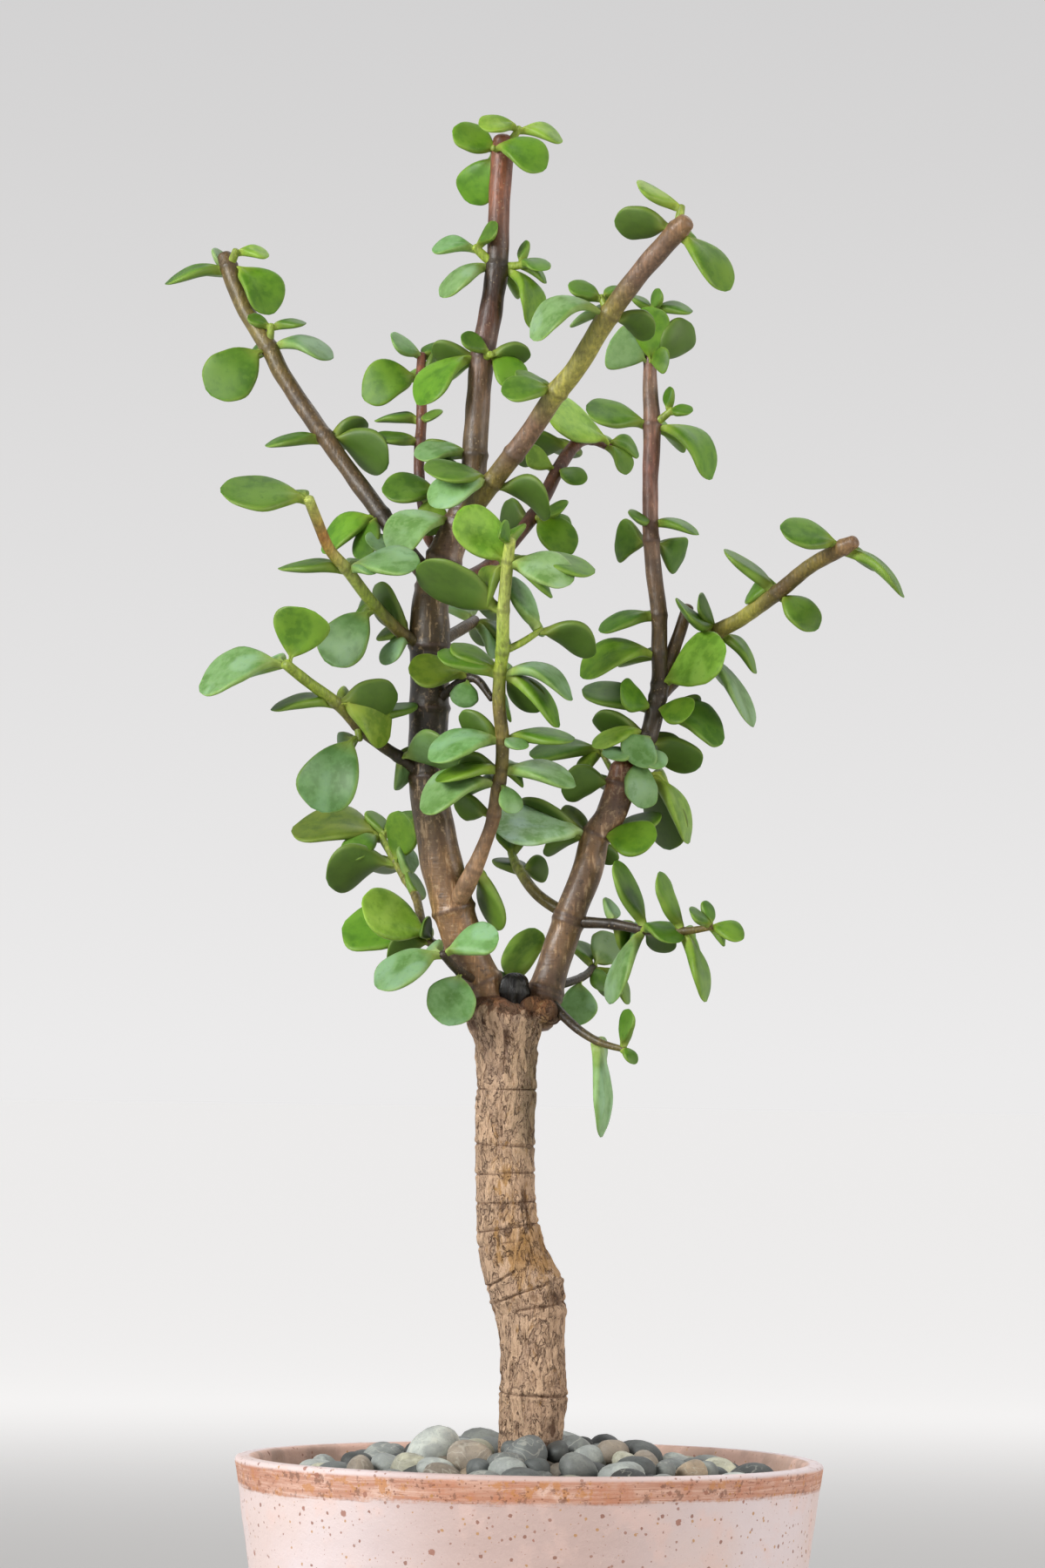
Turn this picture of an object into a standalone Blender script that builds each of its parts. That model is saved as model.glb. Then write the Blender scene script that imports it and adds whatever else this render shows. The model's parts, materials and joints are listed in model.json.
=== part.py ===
"""Potted elephant bush: a clay pot of pebbles, one old trunk, two limbs and their leafy stems.

Metres, +Z up, origin at the middle of the pot's foot. The viewer stands on the -Y side. The plant's
tables are in millimetres: across to the right, up from the pot's rim, away from the viewer.
"""
import math
import random

import bmesh
import bpy
from mathutils import Matrix, Vector

MM = 0.001

# Pot
POT_HEIGHT = 112.0
RIM_RADIUS = 67.3
FOOT_RADIUS = 51.5
WALL = 4.8
FLOOR = 6.0
EDGE = 1.2
POT_SIDES = 48
DRAIN_RADIUS = 5.0
DRAIN_CIRCLE = 26.0
DRAINS = 3
DRAIN_SIDES = 16

# Filling: stones lie in rings of (distance, count), heaped round the trunk, and each is squashed
GAP = 0.3
SOIL_BELOW_RIM = 9.0
SOIL_SIDES = 32
SOIL_BEVEL = 2.0
BED_DEPTH = 5.0
BED_RINGS = (0, 20, 40)
HEAP_HEIGHT = 4.5
STONE_SIZE = (7.4, 9.4)
STONE_RINGS = ((13.5, 5), (25.5, 8), (38.5, 13), (51.5, 20))
STONE_SPREAD = 0.2
STONE_WANDER = 1.5
STONE_RISE = 0.6
STONE_UNEVEN = (0.94, 1.04)
STONE_BREADTH = (0.7, 0.9)
STONE_DEPTH = (0.5, 0.65)
STONE_TILT = 0.35
STONE_SEED = 11

# The plant as it is seen: eye height above the rim, distance from the trunk, and its slight lean
EYE_ACROSS = -1.4
EYE_UP = 91.0
EYE_DISTANCE = 1500.0
LEAN = math.radians(0.8)

# Leaves: width as a share of length, and an outline blunt at the tip and broadest past the middle
LEAF_SHARE = 0.75
LEAF_THICKNESS = 1.7
LEAF_FULL = 1.12
LEAF_BLUNT = 1.8
LEAF_BROADEST = 1.3
LEAF_ROUND = 0.6
LEAF_SIDES = 4
LEAF_RINGS = 4
LEAF_BOW = 0.05
LEAF_SINK = 1.2
SMALL_LEAF = 11.5
TINY_LEAF = 7.5
FELLOW_REACH = 12.0
FELLOW_SHARE = 0.4
FELLOW_FROM = 13.0

# Stems
TWIG_TAPER = 0.8
TRUNK_SIDES = 14
LIMB_SIDES = 10
STOUT = 3.5
STOUT_SIDES = 8
THIN_SIDES = 6

# Colours and roughness
CLAY = ((0.80, 0.66, 0.58, 1.0), 0.85)
EARTH = ((0.06, 0.045, 0.035, 1.0), 0.95)
STONE = ((0.24, 0.25, 0.22, 1.0), 0.6)
BARK = ((0.38, 0.26, 0.18, 1.0), 0.8)
LIMB = ((0.16, 0.09, 0.055, 1.0), 0.6)
DEAD = ((0.02, 0.018, 0.015, 1.0), 0.4)
LEAF = ((0.12, 0.24, 0.05, 1.0), 0.4)

# Route points are (across, up, away), and widths go with them one by one.
TRUNK = dict(
    route=[(0, -62, 0), (0, -30, 0), (0, 0, 0), (0.4, 7.4, 0), (1, 15.4, 0), (0.9, 27.4, 0),
           (0.7, 33.4, 0), (0.3, 36.4, 0), (-0.5, 39.4, 0), (-2, 43.4, 0), (-3.5, 47.4, 0),
           (-4.9, 55.4, 0), (-5.2, 65.4, 0), (-5.1, 75.4, 0), (-4.9, 85.4, 0), (-4.9, 90.4, 0),
           (-4.8, 95.4, 0), (-4.7, 99.4, 0), (-4.3, 102, 0), (-3.8, 104, 0), (-3.4, 105.6, 0)],
    widths=[5, 10, 14, 14.4, 15.2, 14.2, 15, 15.6, 16.2, 14.8, 14.2, 13.4, 13.6, 13.4, 13.4, 13.8,
            14.8, 17.4, 19.6, 18.4, 12])

DEAD_STUB = dict(
    route=[(-3.4, 103.4, -4.6), (-3.2, 108, -4.8), (-2.6, 111.4, -5), (-2.3, 112.2, -5)],
    widths=[4.8, 5, 4.4, 2.4])

LEFT_LIMB = dict(
    route=[(-6, 99, 0), (-9, 106.4, 0), (-13.4, 115.4, 0), (-17, 125.4, 0), (-19.6, 135.4, 0),
           (-21.6, 145.4, 0), (-23, 155.4, 0), (-23, 165.4, 0), (-22.8, 175.4, 0),
           (-22.6, 187.4, 0), (-22.8, 195.4, 0), (-22, 199.4, 0), (-19.4, 207.4, 0),
           (-16, 215.4, 0), (-13.8, 221.4, 0)],
    widths=[9.2, 9.2, 9.2, 9.6, 9.6, 9.2, 8.8, 9, 9, 9.2, 8.8, 8.4, 8, 7.2, 6.6],
    leaves=[(13, -15.4, -6.4, -9, 8)],
    bare=(13,))

RIGHT_LIMB = dict(
    route=[(1, 99, 2), (3.4, 106.4, 2), (6.2, 115.4, 3), (9.6, 125.4, 3), (13.4, 135.4, 3),
           (15.4, 143.4, 4), (18.4, 147.4, 4), (20, 151.4, 4), (21.4, 155.4, 4), (22, 159, 4)],
    widths=[8, 8, 7.4, 7.2, 7.2, 6.8, 6.8, 7.2, 7.6, 6.8],
    twigs=[(8, -4.8, 7.6, 7, 1.6)],
    leaves=[(5, -23, 2, -8, 8.8), (5, -11.8, -3.6, -2, -4), (5, 13.6, -0.4, -7, 8),
            (5, 14.6, 5, 1, 4), (5, -6.4, 7, 5, 4.4), (5, 3.8, -6.4, 4, -4.4),
            (8, -13.6, -1, -2, -7.6), (5, -17.4, 7, 6, -4.4),
            (10, -16, -0.6, 0, 4.8), (10, -5, -5.2, -2, 2.8)])

# Each stem grows from the middle of its parent. A leaf is (joint, across, up, away, width seen from
# the front), its tip measured from the joint; a width below zero shows the underside. A twig is
# (joint, across, up, away, width), and its end is one more joint, after those of the route.
STEMS = {
    "leader": dict(
        parent="left_limb",
        route=[(-14.8, 218.6, 0), (-12.8, 227, 0), (-12.4, 231.4, 0), (-11.6, 243.4, 1),
               (-10.6, 253.8, 2), (-9, 262.4, 3), (-7.2, 274.8, 5), (-6.8, 288.4, 6),
               (-6, 301.6, 8), (-6, 304.2, 8)],
        widths=[6.4, 6, 5.9, 5.6, 5.6, 5.4, 5.2, 5, 5.2, 4.4],
        twigs=[(8, 4, 5.2, -1, 2), (6, -5.2, 4.4, -1, 2.4), (6, 6.2, 0.4, -1, 2.2),
               (4, 1.8, 0.6, -4.5, 2.2)],
        leaves=[(8, -11.2, 4.8, -3, 6.8), (8, -7.2, -12.6, 5, 9.2), (8, 9.2, -4.6, -7, 7.6),
                (10, -9.2, 0.6, -4, 4.4), (10, 9.6, -3, 1, 4),
                (11, -9.6, -0.6, 0, 4), (11, 5.2, 4.8, -5, 3.2), (6, -12.6, -7, -3, 4.4),
                (12, 0.2, 5.4, 2, 2), (12, 4.4, -1.4, -7, 2.8), (12, 5, -4.2, 1, 1.8),
                (6, 8, -14.2, -2, 4.8, 0.12),
                (4, -11.4, 0.8, 5, -4.4), (4, -14.4, -10.8, -5, 6.8),
                (13, -6.6, 4.2, -2, 4), (13, 9, -0.4, 3, -4), (4, 8.6, -6.8, -6, 6.8),
                (2, -11.4, 2, 4, -2.4), (2, -13.4, -0.6, -5, 4.4), (1, -7.6, 2.4, -4, 3.2)]),
    "upper_left": dict(
        parent="left_limb",
        route=[(-22, 201.8, 0), (-28.4, 209.6, 3), (-34.8, 217.4, 6), (-43.2, 229.4, 11),
               (-45.4, 235.4, 13), (-52, 241.4, 17), (-57, 249.4, 20), (-59.8, 256, 22),
               (-65.6, 265.4, 26), (-69, 274.4, 29), (-70, 277, 30)],
        widths=[4.4, 4.2, 4.2, 4, 4.2, 4, 4, 4.2, 4, 4.2, 3.6],
        twigs=[(9, 1.6, 4, -2, 2.2), (7, 0.6, 5.2, -1, 2)],
        leaves=[(9, -14.4, -3.6, 0, 2.8), (9, -2.8, 4.4, 4, 2.8), (11, 7.4, -1.2, 0, 2.8),
                (9, 9.6, -10.4, -5, 8.4), (12, -5.2, 2.2, 1, 2.8), (12, 7.8, 0.4, 0, 1.8),
                (7, 14.2, -2.6, -4, 4), (7, -13.6, -10.2, -4, 12),
                (4, -13.4, -2, 0, 2.6), (4, -2.4, 4, 7, 2.2), (4, 8.8, 2.4, 3, -3.6),
                (4, 12, -8, -2, -7.6), (2, -13.4, -8.4, 0, 6), (2, -4.2, -10, -6, 5.2),
                (1, -8.6, 1.4, -7, 4)]),
    "left_mid": dict(
        parent="left_limb",
        route=[(-22.8, 187, 0), (-28.4, 189.4, -4), (-35.4, 196.4, -10), (-42, 205, -17),
               (-45.8, 209.4, -20), (-48.4, 215.4, -24), (-50.6, 221, -28)],
        widths=[3, 2.8, 2.8, 2.8, 2.6, 2.6, 2.4],
        leaves=[(6, -19.8, 2, -3, 8), (3, -15.2, 0, 2, 2.4), (3, 16.4, 0.8, -5, 6.4),
                (3, 6.6, -1.2, -4, 2), (2, -11.6, -13, -3, 10.4), (2, -4, -2, 9, 4.4),
                (1, -7, 11, 6, -6), (1, -5, 1.5, 9, 6.4), (1, -4, -3.6, 5, 2.4),
                (1, -3.8, -6.4, -6, 3.6), (6, 3, 8, 6, 5)]),
    "left_low": dict(
        parent="left_limb",
        route=[(-23.2, 157, 0), (-30, 161.8, -4), (-35.4, 165.4, -9), (-39.4, 169, -13),
               (-44.4, 174.2, -18), (-51.4, 179.4, -25), (-55.8, 183, -30)],
        widths=[3, 2.8, 2.8, 2.8, 2.6, 2.5, 2.4],
        leaves=[(6, -19.4, -5.6, 2, 8.4), (6, 6.8, 11.4, -3, 9.6), (4, -14.4, -1.8, -2, 2.4),
                (4, 14, 1.2, 3, -8.4), (3, 12.6, 5, 9, 4), (4, 12, -8.4, 6, 9.6),
                (3, -9, -19.2, -5, 12.4), (1, 14.2, -0.8, -9, -8), (1, 0.6, -7.4, 4, 3.6)]),
    "left_twig": dict(
        parent="left_limb",
        route=[(-15.8, 118.4, 0), (-23, 119.4, 6), (-25.8, 129.4, 15), (-28.2, 133.4, 20),
               (-30.4, 137.4, 24), (-34, 143.4, 30)],
        widths=[2.4, 2.2, 2, 2, 2, 1.8],
        leaves=[(5, -19.8, 1.6, 2, 8.4), (5, -7.8, -5, -6, 5.6), (5, -1.6, 5.6, 5, 4),
                (5, 7.6, 5.6, 3, 4), (4, -15.4, -4.4, 2, -9.2), (4, 1, 11.4, -5, 7.2),
                (3, 0.8, 7.6, 5, 4.4), (2, 0, 5, 7, 3.6), (1, -14.8, 9, -8, 10),
                (1, -19, 3.6, 4, 11.6), (1, -9.2, -4.4, -2, -5.6), (1, -1, 4, -7, 3)]),
    "front_twig": dict(
        parent="left_limb",
        route=[(-11.2, 109.8, 0), (-16, 112.4, -9), (-19.8, 116.4, -16)],
        widths=[2.2, 2, 1.8],
        leaves=[(2, -14.8, -7.4, -3, 6.8), (2, 12.6, 4, -3, 5.2), (1, -3, -12, -5, 11.2)]),
    "middle_front": dict(
        parent="left_limb",
        route=[(-17.4, 126.4, 0), (-14.2, 132.4, -7), (-12.4, 136, -9), (-9, 144.4, -12),
               (-8, 148.4, -13), (-6.8, 155.8, -15), (-6.2, 159, -16), (-6, 165.8, -18),
               (-6.8, 173.4, -20), (-6.6, 181, -22), (-6, 185.8, -24), (-5.8, 195.4, -27),
               (-4.8, 206.4, -30), (-4.2, 211.4, -32)],
        widths=[4.8, 4.4, 3.6, 3.2, 3.2, 3.1, 3.1, 3.1, 3, 3, 3, 2.8, 2.8, 2.4],
        twigs=[(10, 9, 5.2, 2, 1.8)],
        leaves=[(12, -10.6, 12, -2, 10), (12, 19.6, -2, 0, 5), (12, 14.4, -4.6, -6, 7.6),
                (12, 10, -7.6, 5, 2.8), (14, -6.4, 11.8, 2, 4.4), (14, 12, -5.6, 2, -5.6),
                (11, -19.6, 9, 3, -8), (12, -5.4, -10, 7, 4.8),
                (9, 16.2, -6.2, -2, 3.6, 0.1), (9, -14, 4.2, -2, 4), (9, -10.6, 6.6, 4, 4.4),
                (9, 8.8, -8.8, 5, -6), (9, 13.4, -12, 3, 4.4),
                (7, -16.4, -4.8, -5, 6), (7, -9.8, 4.6, 6, -5.2), (7, 16.2, 0, 0, 3.2),
                (7, 4.6, -2.4, -6, 2.4), (6, -9.8, -0.6, 4, -4.8), (6, -14.6, -3, -5, 2.4),
                (6, 16.4, -4.2, -4, 4.4), (6, 4.8, -3.6, 5, 2.8), (5, -17.4, -6.4, -3, 7.4),
                (5, 3.4, -7, -4, 4.8), (4, -8.8, 1.6, 7, -5.2), (2, 4.4, -13.6, 9, -4.4),
                (13, 2, 6, 6, 4), (13, -2, 5, -6, 4)]),
    "thin_upright": dict(
        parent="left_limb",
        route=[(-19.4, 207.4, 0), (-23.4, 213, 7), (-24.4, 220.4, 10), (-25.2, 227.4, 12),
               (-25, 234.4, 15), (-24.6, 239.4, 17), (-24.8, 249.4, 20), (-24.6, 254.2, 22)],
        widths=[2.8, 2.6, 2.5, 2.5, 2.5, 2.4, 2.4, 2.2],
        twigs=[(2, 4.4, 1.4, -5, 2)],
        leaves=[(6, -13, -5, -4, 9.6), (6, 4, 4.4, 5, -3.6), (7, -4.8, 4.4, -4, 2.4),
                (7, 1.2, 5, 4, 3), (5, -10.4, -0.2, 3, 2), (5, 3.4, 0.8, -7, 2),
                (4, -10.4, 1, -2, 2.8), (8, -13.4, 1.2, -3, 7), (8, -4.4, -8.8, -3, 7.6)]),
    "upper_right": dict(
        parent="left_limb",
        route=[(-16, 214.5, 0), (-12.6, 219.5, -6.5), (-8.4, 225, -9.5), (-3.4, 231.4, -13),
               (1, 237.4, -16), (6.6, 245.8, -21), (11.4, 251.8, -25), (18.6, 263.8, -31),
               (26.6, 274.4, -37), (34.2, 283, -42), (36.2, 285, -43)],
        widths=[4.8, 4.8, 4.8, 4.8, 4.6, 4.8, 4.6, 4.8, 4.6, 4.8, 4.2],
        twigs=[(9, 1, 5.6, 1, 2.2), (7, -2, 4, 1, 2)],
        leaves=[(11, -10, 5.6, -2, 3.2), (9, -14, 1.6, 4, -6), (9, 11.4, -13.6, -3, 6.8),
                (7, -17.4, -5.8, -4, 6, 0.12), (12, -7.2, 2.8, -1, 4), (12, -4.6, -0.4, 4, 2.4),
                (12, 4, 2.4, 2, 2.4), (7, 9.6, -5.4, 5, -4.8), (5, -9, 4.8, 4, 3.2),
                (5, -12.4, -0.4, -5, 6), (5, 3, 5.6, 5, 2.4), (3, -2.4, -1.4, 9, 3.2),
                (2, 13, -7.6, -2, -5.6), (2, -15, 2.4, -8, 5), (2, -13.4, -5.6, -8, 7)],
        bare=(2,)),
    "back_right": dict(
        parent="left_limb",
        route=[(-21.4, 200.2, 0), (-9.4, 205.4, 14), (1, 217, 24), (6.6, 227.4, 31),
               (10.6, 233.8, 37), (13.6, 236.4, 41), (18.6, 233, 45)],
        widths=[3.4, 3.2, 3.2, 3.2, 3, 2.6, 2],
        twigs=[(2, 2.4, -0.4, -3, 1.8)],
        leaves=[(6, -14.8, 8.8, -7, 8), (6, 6.6, -1.8, 2, 4), (6, 3.6, -6.2, -4, 3.6),
                (5, -4, 7.4, 4, 2.8), (4, -9.6, -0.4, 3, -4.8), (3, 5, -3.4, -7, 3.4),
                (3, -7, 4.4, -5, 5.2), (7, 5.2, 2.8, -5, 2.8), (7, 6.4, -4.4, 3, 4.4),
                (2, -7.4, -1.6, 6, -8), (2, 8.6, -8.6, -5, 8)]),
    "inner_upper": dict(
        parent="left_limb",
        route=[(-22.6, 187, 0), (-14.8, 191.4, 14), (-12.4, 193, 20)],
        widths=[3, 2.8, 2.4],
        leaves=[(2, 4.2, -8.6, -2, 2.4), (2, 4.6, -5.6, 9, -6.8), (2, 8.6, -6.6, 3, 3),
                (2, -6, 5, 9, 6)]),
    "inner_lower": dict(
        parent="left_limb",
        route=[(-22.8, 173, 0), (-13.4, 180, -8), (-8.4, 175, -11)],
        widths=[2.4, 2.1, 1.6],
        leaves=[(1, -13.8, 1.4, -4, 7.2), (1, -2, -6.8, -2, 6.4), (2, 4, -4, 7, 3)]),
    "right_upright": dict(
        parent="right_limb",
        route=[(21.4, 155, 4), (24.2, 162.2, 5), (27.6, 166.4, 6), (29, 172.4, 7), (30.2, 178.4, 8),
               (30, 185.4, 8), (30, 194.2, 8), (28.6, 205.4, 9), (28.2, 211.4, 9),
               (28, 215.8, 9), (28, 225.4, 10), (28.4, 238, 11), (28, 245.4, 12),
               (28, 253, 12), (28.6, 265, 13)],
        widths=[4.6, 4.6, 4.4, 4.2, 4, 3.8, 3.8, 3.7, 3.8, 3.8, 3.6, 4.2, 3.6, 3, 1.6],
        twigs=[(11, 4.6, 3.6, -2, 2), (1, 4, -5.4, 4, 2), (4, 6.4, 17.6, 3.5, 3.4)],
        leaves=[(13, -9.4, 3.4, -5, 11.2), (13, -2.4, 12, -3, 6), (13, 9.2, 4.4, 3, -7.2),
                (13, 4.2, -0.6, -7, 6), (14, 9, -0.6, 0, 2.8), (14, -4.2, 3, 3, 2.4),
                (14, 1.6, 4.4, -3, 2.4), (11, 13.2, -12.2, -3, 6, 0.12), (15, -0.6, 5.2, 1, 2),
                (15, 4.6, -0.4, -3, 2.4), (11, -14.8, 4, -3, 6.4), (9, -4, 1.2, -7, 1.8),
                (9, 10.8, -3, -3, 1.8), (8, -8.2, -1.6, 8, 9.2), (8, 7.4, -4, 8, 8.8),
                (6, -13.4, -3.6, -2, 3.6), (5, -17.4, -5.4, -5, 6.4, 0.1),
                (3, -16, 5, 3, 6.4), (4, 14.8, 8, -11, 10.4),
                (3, -7.6, 5.8, -6, 5.6), (3, 8.4, -0.4, -8, 6), (3, 10.2, 1, 6.5, -4.4),
                (3, 15.4, -7, 0, 7.6), (2, 11, -7.4, 6, -7.2), (2, -12.6, 3.2, 5, -4.4),
                (2, -12.2, -2.6, -5, 3.2), (2, -3, -6.6, -8, 8.8), (1, 6.8, -2.8, -6, 4),
                (1, -6, -0.8, -8, 3.2), (1, 1.4, -12, -6, 7.2), (16, 8.4, -14.6, 1, 4.4),
                (16, 3.4, -16, 7, -8)],
        bare=(4,)),
    "right_branch": dict(
        parent="right_upright",
        route=[(29.4, 175.4, 8), (34, 180.2, 13.4), (38.6, 186.4, 13), (43.6, 190.6, 9),
               (48.6, 193.2, 5), (57.2, 199.4, -3), (64.6, 205.4, -10), (72.2, 209.8, -17),
               (74.8, 211, -19)],
        widths=[4, 4, 4, 4, 3.8, 4, 3.7, 4, 3.6],
        leaves=[(7, -14, 4.6, -3, 6.4), (7, 13.8, -11.2, 1, 2.4), (5, -11.8, 9.8, 2, 2.8),
                (5, -6.8, -0.6, 8, 5.2), (5, 8.8, -8.4, -3, 6.8), (3, -4.4, 7.6, -6, 2.8),
                (3, -8.6, 6, -9, 2.4), (3, 8.6, -9.4, 3, 2.8), (7, 2, 5, 8, 5),
                (2, 12.4, -17.4, -5, 3.4)]),
    "low_right": dict(
        parent="right_limb",
        route=[(9.2, 123.8, 3), (19.6, 123.2, -2), (27, 121.8, -7), (35.6, 121.6, -13),
               (42.2, 122.6, -18)],
        widths=[2.8, 2.4, 2.2, 1.8, 1.4],
        leaves=[(1, -0.6, 5.4, 6, 3.6), (1, 4, -4, 9, 7), (2, -6.8, 15.6, 0, 4.4),
                (2, -7.8, -16.4, -4, 3.6), (2, 4.6, -5, 8, -4.8), (2, 6.8, -2.8, -9, 3.6),
                (3, -5.6, 13.2, -2, 3.6), (3, 4.8, -15.8, 0, 3), (4, -5.2, 3.8, -3, 2),
                (4, -1.2, 5.8, 3, 2.8), (4, 6.8, -2.8, -3, 4), (4, 2.8, -4, 3, 1.8)]),
    "inner_right": dict(
        parent="right_limb",
        route=[(9.6, 125, 3), (2.2, 129.8, 7), (-2.4, 136, 13), (-4, 139.8, 17)],
        widths=[2.4, 2.2, 2, 1.6],
        leaves=[(2, 6.8, -0.6, 4, -6.4), (2, -3.2, 2.4, 9, 4.8), (3, 3, 6, 5, 4),
                (3, -3, 5, -3, 3)]),
    "drooping": dict(
        parent="right_limb",
        route=[(3.6, 107, 2), (9.6, 100.6, -6), (15.6, 96.4, -11), (22.2, 94.4, -16)],
        widths=[2.6, 2.2, 1.8, 1.4],
        leaves=[(2, 1, -21.4, 1, 4), (3, 1, 9, -2, 3), (3, 1.8, -3.2, -3, 2)]),
    "back_low": dict(
        parent="right_limb",
        route=[(4.2, 108.4, 2), (12.2, 111, 15), (15, 113.4, 24)],
        widths=[2.2, 1.9, 1.8],
        leaves=[(1, -2.2, -10.8, -3, 8.4), (2, -4, 6, 4, 4.4), (2, 6.6, 6, 2, 8.8),
                (2, 1.6, -5.4, -6, 4.4), (2, 4.6, -7, 5, -5.2), (2, 8, -8, 1, 3.2)]),
    "fork_twig": dict(
        parent="trunk",
        route=[(-4.6, 102, 6), (-5, 109.8, 9.6), (-5, 111, 10)],
        widths=[2.6, 2.2, 1.6],
        leaves=[(1, 5.6, 12.2, 5, 7.6), (1, -2.8, 3, 3, 2.4)]),
}


def material(name, look):
    colour, roughness = look
    made = bpy.data.materials.new(name)
    made.use_nodes = True
    shader = made.node_tree.nodes["Principled BSDF"]
    shader.inputs["Base Color"].default_value = colour
    shader.inputs["Roughness"].default_value = roughness
    return made


def new_object(name, mesh, collection, finish=None):
    made = bpy.data.objects.new(name, mesh)
    collection.objects.link(made)
    if finish:
        mesh.materials.clear()
        mesh.materials.append(finish)
    return made


def evaluated_mesh(source):
    """The mesh of an object with its modifiers, or a curve, as it stands."""
    bpy.context.view_layer.update()
    return bpy.data.meshes.new_from_object(source.evaluated_get(bpy.context.evaluated_depsgraph_get()))


def apply_modifiers(source):
    mesh = evaluated_mesh(source)
    source.modifiers.clear()
    source.data = mesh


def boolean(target, operation, operands, collection, solver="MANIFOLD"):
    """Join or cut a target with a list of objects, which are used up."""
    group = bpy.data.collections.new("operands")
    collection.children.link(group)
    for operand in operands:
        collection.objects.unlink(operand)
        group.objects.link(operand)
    step = target.modifiers.new(operation.lower(), "BOOLEAN")
    step.operand_type = "COLLECTION"
    step.collection = group
    step.operation = operation
    step.solver = solver
    apply_modifiers(target)
    for operand in operands:
        bpy.data.objects.remove(operand)
    bpy.data.collections.remove(group)


def keep_largest(target):
    """Drop loose scraps that a cut leaves, and keep the body with the most vertices."""
    shape = bmesh.new()
    shape.from_mesh(target.data)
    left = set(shape.verts)
    bodies = []
    while left:
        body = []
        waiting = [left.pop()]
        while waiting:
            vertex = waiting.pop()
            body.append(vertex)
            for edge in vertex.link_edges:
                other = edge.other_vert(vertex)
                if other in left:
                    left.remove(other)
                    waiting.append(other)
        bodies.append(body)
    bodies.sort(key=len)
    for body in bodies[:-1]:
        bmesh.ops.delete(shape, geom=body, context="VERTS")
    shape.to_mesh(target.data)
    shape.free()


def place(across, up, away):
    """The place of a point seen at (across, up), moved away from the eye along its line of sight."""
    level_across = across * math.cos(LEAN) - up * math.sin(LEAN)
    level_up = across * math.sin(LEAN) + up * math.cos(LEAN)
    spread = 1 + away / EYE_DISTANCE
    return MM * Vector((EYE_ACROSS + (level_across - EYE_ACROSS) * spread,
                        away,
                        POT_HEIGHT + EYE_UP + (level_up - EYE_UP) * spread))


def tube(name, points, widths, sides, collection, growth=0.0):
    """A closed tube through points; growth fattens it and makes its ends longer, in millimetres."""
    points = [point.copy() for point in points]
    points[0] += (points[0] - points[1]).normalized() * growth * MM
    points[-1] += (points[-1] - points[-2]).normalized() * growth * MM
    curve = bpy.data.curves.new(name, "CURVE")
    curve.dimensions = "3D"
    curve.bevel_depth = MM
    curve.bevel_resolution = (sides - 4) // 2
    curve.use_fill_caps = True
    spline = curve.splines.new("POLY")
    spline.points.add(len(points) - 1)
    for knot, point, width in zip(spline.points, points, widths):
        knot.co = (*point, 1.0)
        knot.radius = width / 2 + growth
    source = new_object(name, curve, collection)
    mesh = evaluated_mesh(source)
    bpy.data.objects.remove(source)
    shape = bmesh.new()
    shape.from_mesh(mesh)
    bmesh.ops.remove_doubles(shape, verts=shape.verts, dist=0.00001)
    bmesh.ops.recalc_face_normals(shape, faces=shape.faces)
    shape.to_mesh(mesh)
    shape.free()
    return new_object(name, mesh, collection)


def leaf_frame(root, tip, seen_width):
    """Length, width and upward axes of a blade that shows seen_width (mm) to the viewer."""
    along = tip - root
    length = along.length
    along = along.normalized()
    toward = Vector((0, -1, 0))
    facing = (toward - toward.dot(along) * along).normalized()
    side = along.cross(facing)
    if side.z < 0:
        side = -side
    width = max(LEAF_SHARE * length, abs(seen_width) * MM)
    turn = math.acos(min(1.0, abs(seen_width) * MM / width))
    if seen_width < 0:
        facing = -facing
    upper = facing * math.cos(turn) + side * math.sin(turn)
    return along, upper.cross(along), upper, length, width


def leaf(root, tip, seen_width, collection, bow=-LEAF_BOW):
    """A fleshy egg-shaped blade, broadest past its middle: a sphere drawn out along its outline."""
    along, across, upper, length, width = leaf_frame(root, tip, seen_width)
    rings = LEAF_RINGS if length > SMALL_LEAF * MM else LEAF_RINGS - 1
    shape = bmesh.new()
    bmesh.ops.create_uvsphere(shape, u_segments=LEAF_SIDES, v_segments=rings, radius=1.0)
    for vertex in shape.verts:
        around = math.atan2(vertex.co.y, vertex.co.x)
        down = math.acos(max(-1.0, min(1.0, vertex.co.z))) / math.pi
        reach = 1 - down ** LEAF_BLUNT
        outline = 0.0
        if 0 < reach < 1:
            outline = LEAF_FULL * math.sin(math.pi * reach ** LEAF_BROADEST) ** LEAF_ROUND
        body = 1 - (2 * reach - 1) ** 4
        vertex.co = (root + along * length * reach
                     + across * (width / 2 * outline * math.cos(around))
                     + upper * (LEAF_THICKNESS * MM / 2 * body * math.sin(around))
                     + upper * (bow * length * 4 * reach * (1 - reach)))
    mesh = bpy.data.meshes.new("leaf")
    shape.to_mesh(mesh)
    shape.free()
    return new_object("leaf", mesh, collection)


def sunk(points, joint, starts):
    """The place inside the stem, a little before a joint, where its leaves are rooted."""
    before = points[starts[joint]]
    return points[joint] + (before - points[joint]).normalized() * LEAF_SINK * MM


def joints_of(plant):
    """The route's points and then each twig's end, as (across, up, away)."""
    joints = [Vector(point) for point in plant["route"]]
    for start, across, up, away, _ in plant.get("twigs", []):
        joints.append(joints[start] + Vector((across, up, away)))
    return joints


def sides_of(plant):
    mean = sum(plant["widths"]) / len(plant["widths"])
    return STOUT_SIDES if mean > STOUT else THIN_SIDES


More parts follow.
